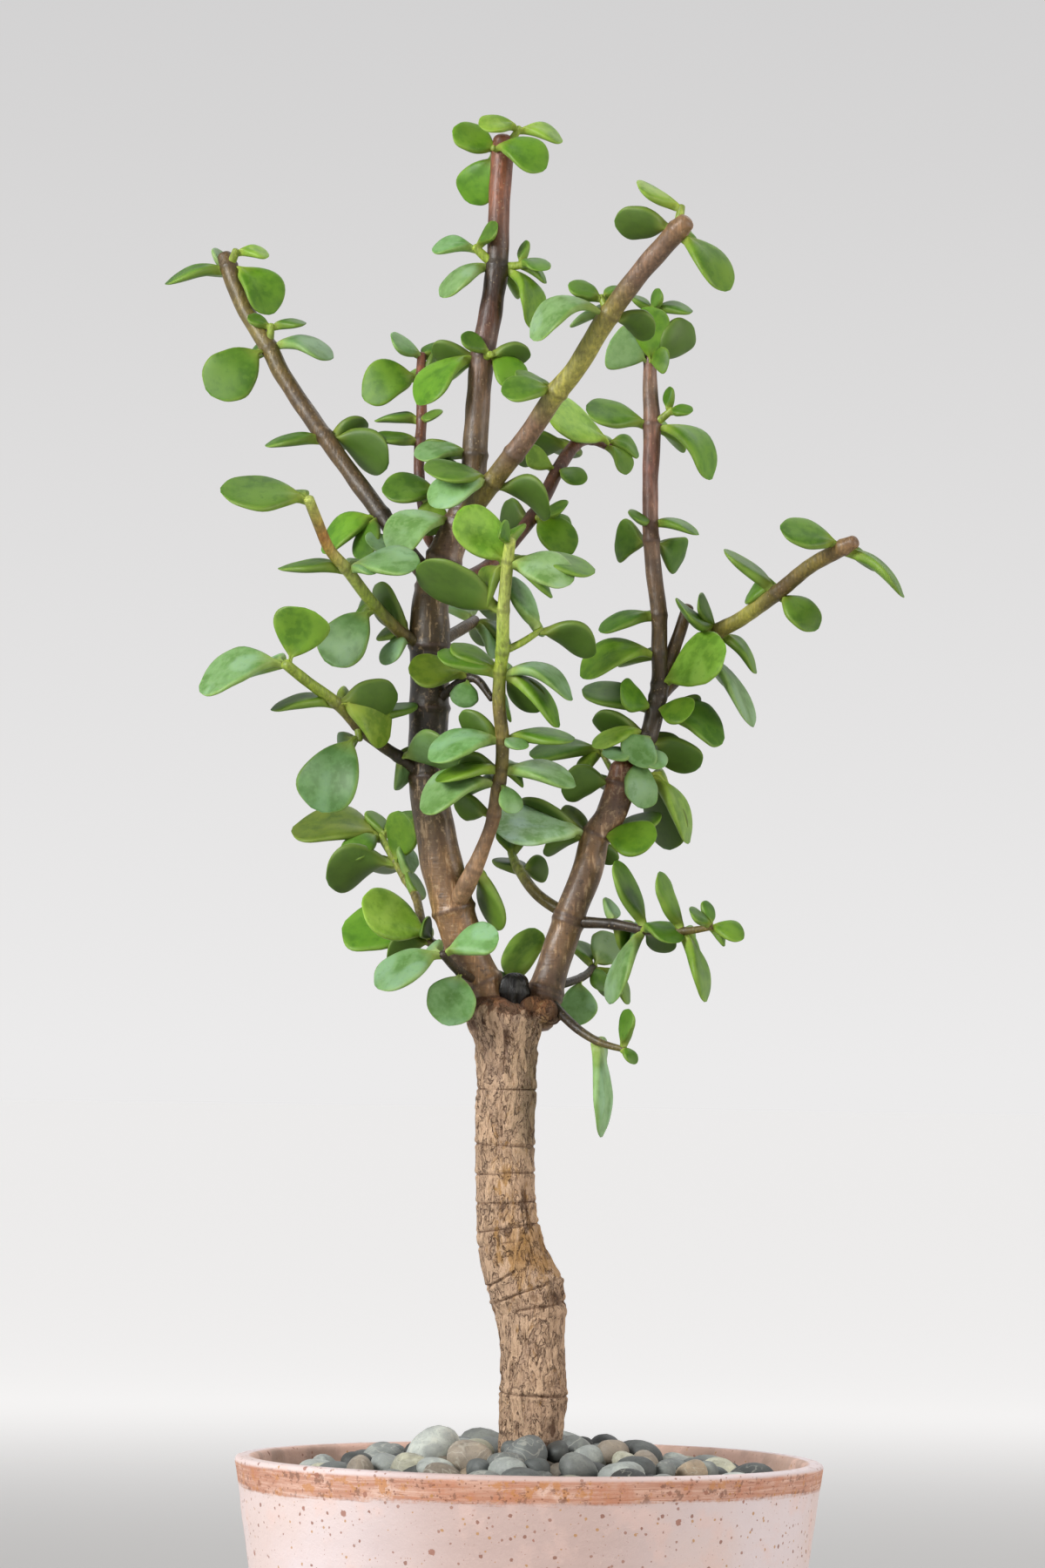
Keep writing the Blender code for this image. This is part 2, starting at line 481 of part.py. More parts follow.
def fellows(plant):
    """Leaves that the view hides: at each joint, one behind the longest leaf, pointing away."""
    longest = {}
    for joint, across, up, away, width, *_ in plant.get("leaves", []):
        reach = math.hypot(across, up)
        if reach > longest.get(joint, (FELLOW_FROM,))[0]:
            longest[joint] = (reach, across, up, width)
    bare = plant.get("bare", ())
    return [(joint, across * FELLOW_SHARE, up * FELLOW_SHARE, FELLOW_REACH, width * FELLOW_SHARE)
            for joint, (_, across, up, width) in longest.items() if joint not in bare]


def grow(name, plant, sides, finish, collection):
    """A stem with its twigs and leaves, joined in one body."""
    joints = joints_of(plant)
    points = [place(*joint) for joint in joints]
    starts = [max(0, number - 1) for number in range(len(plant["route"]))]
    starts += [twig[0] for twig in plant.get("twigs", [])]
    stem = tube(name, points[:len(plant["route"])], plant["widths"], sides, collection)
    parts = []
    for number, (start, *_, width) in enumerate(plant.get("twigs", [])):
        end = points[len(plant["route"]) + number]
        tapered = [width, width * TWIG_TAPER]
        parts.append(tube("twig", [points[start], end], tapered, THIN_SIDES, collection))
    for joint, across, up, away, width, *bow in plant.get("leaves", []) + fellows(plant):
        if Vector((across, up, away)).length < TINY_LEAF:
            continue
        tip = place(*(joints[joint] + Vector((across, up, away))))
        parts.append(leaf(sunk(points, joint, starts), tip, width, collection, *bow))
    if parts:
        boolean(stem, "UNION", parts, collection)
    stem.name = name
    stem.data.materials.clear()
    stem.data.materials.append(finish)
    return stem


def cut_clear(target, plants, collection):
    """Cut a stem's foot to the skin of what it grows from, a hair's breadth clear."""
    cutters = []
    for plant, sides in plants:
        points = [place(*point) for point in plant["route"]]
        cutters.append(tube("cutter", points, plant["widths"], sides, collection, growth=GAP))
    boolean(target, "DIFFERENCE", cutters, collection)
    keep_largest(target)


def turned(name, profile, sides, finish, collection):
    """A solid turned about the z axis from a profile of (radius, height) in millimetres."""
    mesh = bpy.data.meshes.new(name)
    mesh.from_pydata([(radius * MM, 0, height * MM) for radius, height in profile],
                     [(i, i + 1) for i in range(len(profile) - 1)], [])
    made = new_object(name, mesh, collection, finish)
    screw = made.modifiers.new("turn", "SCREW")
    screw.axis = "Z"
    screw.angle = math.tau
    screw.steps = sides
    screw.render_steps = sides
    screw.use_merge_vertices = True
    screw.merge_threshold = 0.0001
    apply_modifiers(made)
    return made


def wall_radius(height):
    """The outer radius of the pot at a height above its foot."""
    return FOOT_RADIUS + (RIM_RADIUS - FOOT_RADIUS) * height / POT_HEIGHT


def make_pot(finish, collection):
    inner_floor = wall_radius(FLOOR) - WALL
    inner_rim = RIM_RADIUS - WALL
    profile = [(0, FLOOR), (inner_floor - EDGE, FLOOR), (inner_floor + 0.2, FLOOR + EDGE),
               (inner_rim - 0.1, POT_HEIGHT - EDGE), (inner_rim + EDGE, POT_HEIGHT),
               (RIM_RADIUS - EDGE, POT_HEIGHT), (RIM_RADIUS, POT_HEIGHT - EDGE),
               (FOOT_RADIUS, EDGE), (FOOT_RADIUS - EDGE, 0), (0, 0)]
    pot = turned("pot", profile, POT_SIDES, finish, collection)
    drills = []
    for number in range(DRAINS):
        angle = math.tau * (number + 0.25) / DRAINS
        bpy.ops.mesh.primitive_cylinder_add(
            vertices=DRAIN_SIDES, radius=DRAIN_RADIUS * MM, depth=4 * FLOOR * MM,
            location=(DRAIN_CIRCLE * MM * math.cos(angle), DRAIN_CIRCLE * MM * math.sin(angle), 0))
        drill = bpy.context.object
        for owner in drill.users_collection:
            owner.objects.unlink(drill)
        collection.objects.link(drill)
        drills.append(drill)
    boolean(pot, "DIFFERENCE", drills, collection, solver="EXACT")
    return pot


def heap(radius):
    """The height of the ground's dome above its edge, at a distance from the trunk."""
    return HEAP_HEIGHT * math.cos(math.pi / 2 * min(1.0, radius / (RIM_RADIUS - WALL)))


def make_soil(finish, collection):
    top = POT_HEIGHT - SOIL_BELOW_RIM
    edge_top = wall_radius(top) - WALL - 2 * GAP
    edge_foot = wall_radius(FLOOR) - WALL - 3 * GAP
    profile = [(0, top), (edge_top, top), (edge_foot, FLOOR + EDGE + GAP),
               (edge_foot - SOIL_BEVEL, FLOOR + GAP), (0, FLOOR + GAP)]
    soil = turned("soil", profile, SOIL_SIDES, finish, collection)
    cut_clear(soil, [(TRUNK, TRUNK_SIDES)], collection)
    return soil


def make_pebbles(finish, collection):
    """A thin bed on the soil, with rings of stones sunk into it, all in one body."""
    rng = random.Random(STONE_SEED)
    foot = POT_HEIGHT - SOIL_BELOW_RIM + GAP
    top = foot + BED_DEPTH
    edge_top = wall_radius(top) - WALL - 3 * GAP
    edge_foot = wall_radius(foot) - WALL - 3 * GAP
    profile = ([(radius, top + heap(radius)) for radius in BED_RINGS]
               + [(edge_top, top), (edge_foot, foot), (0, foot)])
    bed = turned("pebbles", profile, SOIL_SIDES, finish, collection)
    stones = []
    for ring, count in STONE_RINGS:
        for number in range(count):
            angle = math.tau * (number + rng.uniform(-STONE_SPREAD, STONE_SPREAD)) / count + ring
            size = rng.uniform(*STONE_SIZE)
            distance = min(ring + rng.uniform(-STONE_WANDER, STONE_WANDER),
                           edge_foot - GAP - size * STONE_UNEVEN[1])
            shape = bmesh.new()
            bmesh.ops.create_icosphere(shape, subdivisions=1, radius=size * MM)
            for vertex in shape.verts:
                vertex.co *= rng.uniform(*STONE_UNEVEN)
            squash = Matrix.Diagonal((1.0, rng.uniform(*STONE_BREADTH), rng.uniform(*STONE_DEPTH), 1.0))
            spin = Matrix.Rotation(rng.uniform(0, math.tau), 4, "Z")
            tilt = Matrix.Rotation(rng.uniform(-STONE_TILT, STONE_TILT), 4, "X")
            spot = Matrix.Translation(MM * Vector((distance * math.cos(angle),
                                                   distance * math.sin(angle),
                                                   top + heap(distance) + STONE_RISE)))
            shape.transform(spot @ spin @ tilt @ squash)
            mesh = bpy.data.meshes.new("stone")
            shape.to_mesh(mesh)
            shape.free()
            stones.append(new_object("stone", mesh, collection))
    boolean(bed, "UNION", stones, collection)
    cut_clear(bed, [(TRUNK, TRUNK_SIDES)], collection)
    return bed


def build():
    for leftover in list(bpy.data.objects):
        bpy.data.objects.remove(leftover)
    collection = bpy.data.collections.new("potted_elephant_bush")
    bpy.context.scene.collection.children.link(collection)
    clay = material("clay", CLAY)
    earth = material("earth", EARTH)
    stone = material("stone", STONE)
    bark = material("bark", BARK)
    limb = material("limb_bark", LIMB)
    dead = material("dead_wood", DEAD)
    green = material("leaf", LEAF)

    make_pot(clay, collection)
    make_soil(earth, collection)
    make_pebbles(stone, collection)
    grow("trunk", TRUNK, TRUNK_SIDES, bark, collection)
    trunk = (TRUNK, TRUNK_SIDES)
    left = (LEFT_LIMB, LIMB_SIDES)
    right = (RIGHT_LIMB, LIMB_SIDES)
    upright = (STEMS["right_upright"], sides_of(STEMS["right_upright"]))
    stub = grow("dead_stub", DEAD_STUB, STOUT_SIDES, dead, collection)
    cut_clear(stub, [trunk, left, right], collection)
    for name, plant, cutters in (("left_limb", LEFT_LIMB, [trunk]),
                                 ("right_limb", RIGHT_LIMB, [trunk, left])):
        cut_clear(grow(name, plant, LIMB_SIDES, limb, collection), cutters, collection)
    for name, plant in STEMS.items():
        cutters = [trunk, left, right]
        if plant["parent"] == "right_upright":
            cutters.append(upright)
        cut_clear(grow(name, plant, sides_of(plant), green, collection), cutters, collection)


build()
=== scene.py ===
"""The looks of a potted elephant bush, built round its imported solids.

Metres, +Z up, origin at the middle of the pot's foot. As in the solids' source, the plant's tables are
in millimetres: across to the right, up from the pot's rim, away from the viewer.
"""
import json
import math
from collections import namedtuple
from functools import partialmethod

import bpy
import numpy as np
from mathutils import Matrix, Vector

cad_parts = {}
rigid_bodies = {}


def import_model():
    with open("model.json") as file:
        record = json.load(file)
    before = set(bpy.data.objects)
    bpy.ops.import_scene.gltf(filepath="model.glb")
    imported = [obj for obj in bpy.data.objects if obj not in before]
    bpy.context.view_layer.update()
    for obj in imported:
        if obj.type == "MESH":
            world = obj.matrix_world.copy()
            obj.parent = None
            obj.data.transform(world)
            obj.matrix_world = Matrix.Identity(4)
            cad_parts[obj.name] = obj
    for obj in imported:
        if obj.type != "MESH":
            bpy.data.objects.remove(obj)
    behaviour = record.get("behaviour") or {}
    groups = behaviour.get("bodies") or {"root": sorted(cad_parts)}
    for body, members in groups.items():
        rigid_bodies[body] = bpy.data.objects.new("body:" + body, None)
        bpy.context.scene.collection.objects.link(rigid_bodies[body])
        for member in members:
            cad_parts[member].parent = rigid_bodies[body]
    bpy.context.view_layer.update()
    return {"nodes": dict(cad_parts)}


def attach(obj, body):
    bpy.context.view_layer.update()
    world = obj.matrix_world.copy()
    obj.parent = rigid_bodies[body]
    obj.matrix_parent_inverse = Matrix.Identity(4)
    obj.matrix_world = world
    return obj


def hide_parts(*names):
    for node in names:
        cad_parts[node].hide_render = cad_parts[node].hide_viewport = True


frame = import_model()

MM = 0.001

# The eye beside the trunk's axis, above the rim and in front, what it sees, and the plant's slight lean
EYE_ACROSS = -1.4
EYE_UP = 91.0
EYE_DISTANCE = 1500.0
VIEW_UP = 155.4
VIEW_HEIGHT = 360.0
SENSOR = 36.0
LEAN = math.radians(0.8)

# Pot and filling
POT_HEIGHT = 112.0
LIP_HEIGHT = 113.3
RIM_RADIUS = 67.3
FOOT_RADIUS = 51.5
WALL = 4.8
FLOOR = 6.0
POT_ROUNDING = 1.4
POT_SIDES = 224
BAND_HEIGHT = 6.6
DRAIN_RADIUS = 5.0
DRAIN_CIRCLE = 26.0
DRAINS = 3
DRAIN_TURN = math.tau / 12
BED_TOP = LIP_HEIGHT - 8.6
HEAP_HEIGHT = 10.6
TRUNK_CLEARANCE = 8.2
BED_DEPTH = 4.0
BED_UNDER_STONES = 2.4

# Leaves: width as a share of length, and what each joint's hidden leaf takes from its longest one
LEAF_SHARE = 0.75
LEAF_THICKNESS = 2.5
LEAF_BOW = 0.07
LEAF_SINK = 0.7
LEAF_STALK = 0.1
LEAF_RINGS = 22
LEAF_SIDES = 24
FELLOW_REACH = 12.0
FELLOW_SHARE = 0.4
FELLOW_FROM = 13.0

# Stems and the trunk, whose buried foot keeps one ring in four
STEM_STEP = 0.5
END_RINGS = 4
NODE_SWELL = 0.1
NODE_REACH = 0.8
TWIG_TAPER = 0.8
TWIG_SIDES = 16
OLD_TWIG = 3.0
TRUNK_SIDES = 208
TRUNK_STEP = 0.32
TRUNK_END_RINGS = 10
BURIED = 8.0
BURIED_THINNING = 4
STUB_SIDES = 72
STUB_STEP = 0.2

# Heights above the rim between which the bark takes on the torn collar's colour
COLLAR_FOOT = 101
COLLAR_FULL = 103


def paint(red, green, blue):
    """A colour given as on a screen, 0 to 255, turned to the linear light that shaders use."""
    share = np.array((red, green, blue)) / 255
    return tuple(np.where(share <= 0.04045, share / 12.92, ((share + 0.055) / 1.055) ** 2.4))


# Tones of leaves
BRIGHT = paint(84, 124, 22)
MID = paint(72, 108, 24)
DARK = paint(44, 74, 10)
PALE = paint(106, 142, 84)
YELLOW = paint(116, 146, 44)
MOSS = paint(84, 108, 22)
FRESH = paint(114, 156, 46)
# Painted light: the palest tone, which paints light onto a leaf that lies in shade
LIT_PALE = paint(146, 176, 132)
SEA = paint(78, 112, 58)

# Skin colours of stems
BROWN = paint(78, 60, 32)
UMBER = paint(46, 35, 19)
RUSSET = paint(112, 66, 42)
MAROON = paint(78, 45, 28)
PLUM = paint(126, 76, 66)
KHAKI = paint(104, 92, 40)
OLIVE = paint(130, 126, 54)
GREEN = paint(124, 144, 46)
LIME = paint(148, 160, 74)
COLLAR = paint(110, 78, 48)
TAN = paint(114, 86, 56)
SAND = paint(132, 104, 76)
RUST = paint(110, 81, 50)
ROSE = paint(116, 76, 62)
MAUVE = paint(104, 80, 60)
ORANGE = paint(150, 104, 48)

# Ring scars are (height above the rim, rise to the right, depth, first and last place from left -1 to
# right 1, equal where the ring goes all round), and dimples are (height, place, reach, depth).
RING_SCARS = (
    (85.3, -0.1, 0.5, 0, 0), (72.5, -0.2, 0.5, 0, 0), (66.1, 0.1, 0.5, 0, 0), (59.5, -0.1, 0.45, 0, 0),
    (53.7, 0.2, 0.45, 0, 0), (50.5, -0.2, 0.4, -1.2, 0.35), (44.2, 0.9, 0.75, -1.2, 0.05),
    (39.2, 0.4, 0.65, -1.1, 1.2), (35.4, 0.2, 0.6, -0.5, 1.2), (15.8, -0.3, 0.55, 0, 0))
DIMPLES = ((36.6, 0.84, 1.9, 1.1), (100.5, -0.9, 1.6, 0.4))
# Lumps of torn bark where the limbs leave the trunk (across, up, away, size)
COLLAR_LUMPS = (
    (1, 104.6, -3.6, 6), (3.4, 103.4, -3.6, 6.6), (4.8, 102.4, -2.4, 6), (5.2, 101.4, -1, 4.6),
    (-7.8, 104.8, -5.2, 5), (-11, 104.6, -4, 5.4), (-13, 102.6, -1.6, 5), (5.6, 102.6, 3.6, 5),
    (0.4, 104.6, 5.4, 6), (-5.4, 104.6, 6, 6), (-10.6, 104.2, 4.6, 5.6))

# Colours of the stones with their shares, their sizes with their chances, and the two layers that they
# lie in: height of the middles over the gravel, throws, closeness and brightness, the lower layer dimmed
# as painted shade between the upper stones
STONE_COLOURS = (
    ((116, 120, 116), 5), ((136, 140, 135), 4), ((98, 102, 100), 4), ((140, 139, 122), 1.8),
    ((132, 122, 108), 3), ((180, 160, 134), 0.6), ((80, 84, 82), 3), ((56, 58, 56), 1.2),
    ((158, 158, 146), 1.5))
STONE_SIZES = (6.5, 8, 9.5, 11.5, 14)
STONE_CHANCES = (0.14, 0.26, 0.3, 0.2, 0.1)
STONE_LAYERS = ((-2.2, 3000, 0.78, 0.4), (0.9, 4200, 0.86, 1.0))

# Specks of the clay: cells a metre, reach as a share of a cell, strength and colour
SPECKS = ((150, 0.13, 0.85, (146, 98, 80)), (300, 0.16, 0.85, (132, 90, 74)),
          (420, 0.17, 0.75, (140, 98, 80)), (800, 0.15, 0.5, (146, 104, 88)),
          (380, 0.15, 0.75, (168, 122, 58)))

# Studio: the sky's (height, colour), and lamps of (name, place, size, watts, colour), all in metres
STUDIO_RADIUS = 30.0
SKY = ((0.0, (236, 235, 235)), (0.14, (214, 213, 213)), (0.4, (176, 177, 180)))
LAMPS = (("key", (-1.0, -0.8, 0.85), 0.6, 25, (1, 1, 1)),
         ("fill", (1.35, -0.65, 0.6), 0.8, 13, (1, 0.93, 0.88)),
         ("back", (0.4, 0.9, 1.4), 1.2, 7, (1, 1, 1)))
LAMP_AIM = (0.0, 0.0, 0.22)

# Route points are (across, up, away), and widths go with them one by one.
TRUNK_ROUTE = [
    (0, -62, 0), (0, -30, 0), (-0.3, 0, 0), (0.3, 7.4, 0), (1, 15.4, 0), (0.9, 27.4, 0), (0.7, 33.4, 0),
    (0.3, 36.4, 0), (-0.5, 39.4, 0), (-2, 43.4, 0), (-3.5, 47.4, 0), (-4.9, 55.4, 0), (-5.2, 65.4, 0),
    (-5.1, 75.4, 0), (-4.9, 85.4, 0), (-4.9, 90.4, 0), (-4.9, 95.4, 0), (-5, 98.6, 0), (-5.2, 101, 0),
    (-5.1, 102.8, 0), (-4.6, 104.2, 0)]
TRUNK_WIDTHS = [
    5, 10, 13.4, 14.2, 15.2, 14.2, 15, 15.6, 16.2, 14.8, 14.2, 13.4, 13.6, 13.4, 13.4, 13.8, 14.8, 16.6,
    18.8, 19, 14]
DEAD_STUB_ROUTE = [(-3.4, 102.6, -2.6), (-3.4, 105.4, -3), (-3.3, 107.6, -3.3), (-3.2, 109.6, -3.4)]
DEAD_STUB_WIDTHS = [5, 6.2, 6.6, 5.6]

# Each limb and stem grows from the middle of its parent. Its skins are colours from foot to tip. A leaf
# is (joint, across, up, away, width seen from the front, tone), its tip measured from the joint; a width
# below zero shows the underside, and a seventh number bows the leaf. A twig is (joint, across, up, away,
# width), and its end is one more joint, after those of the route. Bare joints bear no hidden leaf.
Plan = namedtuple("Plan", "parent skins route widths leaves twigs bare sides slot",
                  defaults=((), (), 28, "leafy_stem"))
STEMS = {}
STEMS["left_limb"] = Plan("trunk", [COLLAR, RUST, RUST, TAN, BROWN, UMBER, UMBER, UMBER, BROWN, MAUVE,
                                    UMBER],
    [(-6, 99, 0), (-9, 106.4, 0), (-13.4, 115.4, 0), (-17, 125.4, 0), (-19.6, 135.4, 0), (-21.6, 145.4, 0),
     (-23, 155.4, 0), (-23, 165.4, 0), (-22.8, 175.4, 0), (-22.6, 187.4, 0), (-22.8, 195.4, 0),
     (-22, 199.4, 0), (-19.4, 207.4, 0), (-16, 215.4, 0), (-13.8, 221.4, 0)],
    [9.2, 9.2, 9.2, 9.6, 9.6, 9.2, 8.8, 9, 9, 9.2, 8.8, 8.4, 8, 7.2, 6.6],
    [(13, -15.4, -6.4, -9, 8, PALE)],
    bare=(13,), sides=40, slot="limb_bark")
STEMS["right_limb"] = Plan("trunk", [COLLAR, MAUVE, TAN, MAUVE, TAN, MAUVE, RUSSET],
    [(1.8, 101.2, 1.4), (3.4, 106.4, 2), (6.2, 115.4, 3), (9.6, 125.4, 3), (13.4, 135.4, 3),
     (15.4, 143.4, 4), (18.4, 147.4, 4), (20, 151.4, 4), (21.4, 155.4, 4), (22, 159, 4)],
    [8, 8, 7.4, 7.2, 7.2, 6.8, 6.8, 7.2, 7.6, 6.8],
    # The first leaf's palest tone is painted light
    [(5, -23, 2, -8, 8.8, LIT_PALE), (5, -11.8, -3.6, -2, -4, DARK), (5, 13.6, -0.4, -7, 8, BRIGHT),
     (5, 14.6, 5, 1, 4, MID), (5, -6.4, 7, 5, 4.4, MOSS), (5, 3.8, -6.4, 4, -4.4, DARK),
     (8, -13.6, -1, -2, -7.6, DARK), (5, -17.4, 7, 6, -4.4, DARK), (10, -16, -0.6, 0, 4.8, MID),
     (10, -5, -5.2, -2, 2.8, YELLOW)],
    twigs=[(8, -4.8, 7.6, 7, 1.6)],
    sides=36, slot="limb_bark")
STEMS["leader"] = Plan("left_limb", [BROWN, BROWN, MAUVE, MAROON, UMBER, RUSSET, RUSSET],
    [(-14.8, 218.6, 0), (-12.8, 227, 0), (-12.4, 231.4, 0), (-11.6, 243.4, 1), (-10.6, 253.8, 2),
     (-9, 262.4, 3), (-7.2, 274.8, 5), (-6.8, 288.4, 6), (-6, 301.6, 8), (-6, 304.2, 8)],
    [6.4, 6, 5.9, 5.6, 5.6, 5.4, 5.2, 5, 5.2, 4.4],
    [(8, -11.2, 4.8, -3, 6.8, BRIGHT), (8, -8, -11.6, 5, 9.6, BRIGHT), (14, 11.6, -5, -4.6, 7.6, BRIGHT),
     (10, -9.2, 0.6, -4, 4.4, YELLOW), (10, 9.6, -3, 1, 4, YELLOW), (11, -9.6, -0.6, 0, 4, PALE),
     (11, 5.2, 4.8, -5, 3.2, MID), (6, -12.6, -7, -3, 4.4, PALE), (12, 0.2, 5.4, 2, 2, MID),
     (12, 4.4, -1.4, -7, 2.8, MID), (12, 5, -4.2, 1, 1.8, MID), (6, 8, -14.2, -2, 4.8, BRIGHT, 0.12),
     (4, -11.4, 0.8, 5, -4.4, DARK), (4, -14.4, -10.8, -5, 6.8, BRIGHT), (13, -6.6, 4.2, -2, 4, MID),
     (13, 9, -0.4, 3, -4, DARK), (4, 8.6, -6.8, -6, 6.8, BRIGHT), (2, -11.4, 2, 4, -2.4, DARK),
     (2, -13.4, -0.6, -5, 4.4, PALE), (1, -7.6, 2.4, -4, 3.2, PALE)],
    twigs=[(8, 4, 5.2, -1, 2), (6, -5.2, 4.4, -1, 2.4), (6, 6.2, 0.4, -1, 2.2), (4, 1.8, 0.6, -4.5, 2.2),
           (8, -2.2, 0.6, -3.6, 1.8)])
STEMS["upper_left"] = Plan("left_limb", [BROWN, UMBER, BROWN, BROWN, KHAKI, BROWN],
    [(-22, 201.8, 0), (-28.4, 209.6, 3), (-33.8, 217.4, 6), (-42.7, 229.4, 11), (-46.9, 235.4, 13),
     (-51.2, 241.4, 17), (-56.5, 249.4, 20), (-59.8, 256, 22), (-65.6, 265.4, 26), (-69, 274.4, 29),
     (-70, 277, 30)],
    [4.4, 4.2, 4.2, 4, 4.2, 4, 4, 4.2, 4, 4.2, 3.6],
    [(9, -14.4, -3.6, 0, 2.8, MID), (9, -2.8, 4.4, 4, 2.8, PALE), (11, 7.4, -1.2, 0, 2.8, YELLOW),
     (9, 9.6, -10.4, -5, 8.4, BRIGHT), (12, -5.2, 2.2, 1, 2.8, MID), (12, 7.8, 0.4, 0, 1.8, MID),
     (7, 14.2, -2.6, -4, 4, PALE), (7, -13.6, -10.2, -4, 12, MID), (4, -13.4, -2, 0, 2.6, MID),
     (4, -2.4, 4, 7, 2.2, MID), (4, 9.8, 2.6, 3, -4.4, DARK), (4, 14.2, -6.6, -2, -8.4, DARK),
     (2, -13.4, -8.4, 0, 6, BRIGHT), (2, -4.2, -10, -6, 5.2, MID), (1, -8.6, 1.4, -7, 4, PALE)],
    twigs=[(9, 1.6, 4, -2, 2.2), (7, 0.6, 5.2, -1, 2)])
STEMS["left_mid"] = Plan("left_limb", [UMBER, KHAKI, GREEN, LIME, ORANGE, LIME],
    [(-22.8, 187, 0), (-28.4, 189.4, -4), (-35.4, 196.4, -10), (-42, 205, -17), (-45.8, 209.4, -20),
     (-48.4, 215.4, -24), (-50.6, 221, -28)],
    [3, 2.8, 2.8, 2.8, 2.6, 2.6, 2.4],
    [(6, -19.8, 2, -3, 8, MID), (3, -15.2, 0, 2, 2.4, MID), (3, 16.4, 0.8, -5, 6.4, PALE),
     (3, 6.6, -1.2, -4, 2, PALE), (2, -10.4, -13, -3, 11, SEA), (2, -4, -2, 9, 4.4, BRIGHT),
     (1, -7, 11, 6, -6, DARK), (1, -5, 1.5, 9, 6.4, YELLOW), (1, -4, -3.6, 5, 2.4, DARK),
     (1, -3.8, -6.4, -6, 3.6, PALE)])
STEMS["left_low"] = Plan("left_limb", [UMBER, UMBER, KHAKI, GREEN, GREEN],
    [(-23.2, 157, 0), (-30, 161.8, -4), (-35.4, 165.4, -9), (-39.4, 169, -13), (-44.4, 174.2, -18),
     (-51.4, 179.4, -25), (-55.8, 183, -30)],
    [3, 2.8, 2.8, 2.8, 2.6, 2.5, 2.4],
    [(6, -19.4, -5.6, 2, 8.4, PALE), (6, 5.4, 12.2, -3, 12.6, BRIGHT), (4, -14.4, -1.8, -2, 2.4, MID),
     (4, 14, 1.2, 3, -8.4, DARK), (3, 12.6, 5, 9, 4, MID), (4, 12, -8.4, 6, 9.6, YELLOW),
     (7, -9.6, -15.8, -4, 13.4, SEA), (1, 14.2, -0.8, -9, -8, SEA), (1, 0.6, -7.4, 4, 3.6, PALE)],
    twigs=[(3, 0.6, -3.4, -1, 1.8)])
STEMS["left_twig"] = Plan("left_limb", [UMBER, KHAKI, GREEN],
    [(-15.8, 118.4, 0), (-23, 119.4, 6), (-25.8, 129.4, 15), (-28.2, 133.4, 20), (-30.4, 137.4, 24),
     (-34, 143.4, 30)],
    [2.4, 2.2, 2, 2, 2, 1.8],
    [(5, -19.8, 1.6, 2, 8.4, MOSS), (5, -7.8, -5, -6, 5.6, MID), (5, -1.6, 5.6, 5, 4, MID),
     (5, 7.6, 5.6, 3, 4, MID), (4, -15.4, -4.4, 2, -9.2, DARK), (4, 1, 11.4, -5, 7.2, BRIGHT),
     (3, 0.8, 7.6, 5, 4.4, PALE), (2, 0, 5, 7, 3.6, MID), (1, -14.8, 9, -8, 10, FRESH),
     (1, -19, 3.6, 4, 11.6, BRIGHT), (1, -9.2, -4.4, -2, -5.6, DARK), (1, -1, 4, -7, 3, DARK)])
STEMS["front_twig"] = Plan("left_limb", [UMBER],
    [(-11.2, 109.8, 0), (-16, 112.4, -9), (-19.8, 116.4, -16)],
    [2.2, 2, 1.8],
    [(2, -14.8, -7.4, -3, 7.4, PALE), (2, 12.6, 4, -3, 7, PALE), (1, -3, -12, -5, 11.2, PALE)])
STEMS["middle_front"] = Plan("left_limb", [SAND, SAND, TAN, KHAKI, KHAKI, GREEN, LIME, LIME],
    [(-17.4, 126.4, 0), (-14.2, 132.4, -7), (-12.4, 136, -9), (-9, 144.4, -12), (-8, 148.4, -13),
     (-6.8, 155.8, -15), (-6.2, 159, -16), (-6, 165.8, -18), (-6.8, 173.4, -20), (-6.6, 181, -22),
     (-6, 185.8, -24), (-5.8, 195.4, -27), (-4.8, 206.4, -30), (-4.2, 211.4, -32)],
    [4.8, 4.4, 3.6, 3.2, 3.2, 3.1, 3.1, 3.1, 3, 3, 3, 2.8, 2.8, 2.4],
    [(12, -10.6, 12, -2, 10, FRESH), (12, 19.6, -2, 0, 5, MID), (12, 14.4, -4.6, -6, 7.6, PALE),
     (12, 10, -7.6, 5, 2.8, MID), (14, -6.4, 11.8, 2, 4.4, PALE), (14, 12, -5.6, 2, -5.6, DARK),
     (11, -19.6, 9, 3, -8, DARK), (12, -5.4, -10, 7, 4.8, MOSS), (9, 16.2, -6.2, -2, 3.6, PALE, 0.1),
     (9, -14, 4.2, -2, 4, MID), (9, -10.6, 6.6, 4, 4.4, MID), (9, 8.8, -8.8, 5, -6, DARK),
     (9, 13.4, -12, 3, 4.4, BRIGHT), (7, -16.4, -4.8, -5, 6, PALE), (7, -9.8, 4.6, 6, -5.2, DARK),
     (7, 16.2, 0, 0, 3.2, MID), (7, 4.6, -2.4, -6, 2.4, PALE), (6, -9.8, -0.6, 4, -4.8, DARK),
     (6, -14.6, -3, -5, 2.4, BRIGHT), (6, 16.4, -4.2, -4, 4.4, PALE), (6, 4.8, -3.6, 5, 2.8, MID),
     (5, -17.4, -6.4, -3, 7.4, PALE), (5, 3.4, -7, -4, 4.8, PALE), (4, -8.8, 1.6, 7, -5.2, DARK),
     (2, 4.4, -13.6, 9, -4.4, MID), (13, 2, 3.4, 6, 3, MID), (13, -2, 3, -6, 3, MID)],
    twigs=[(10, 9, 5.2, 2, 1.8)])
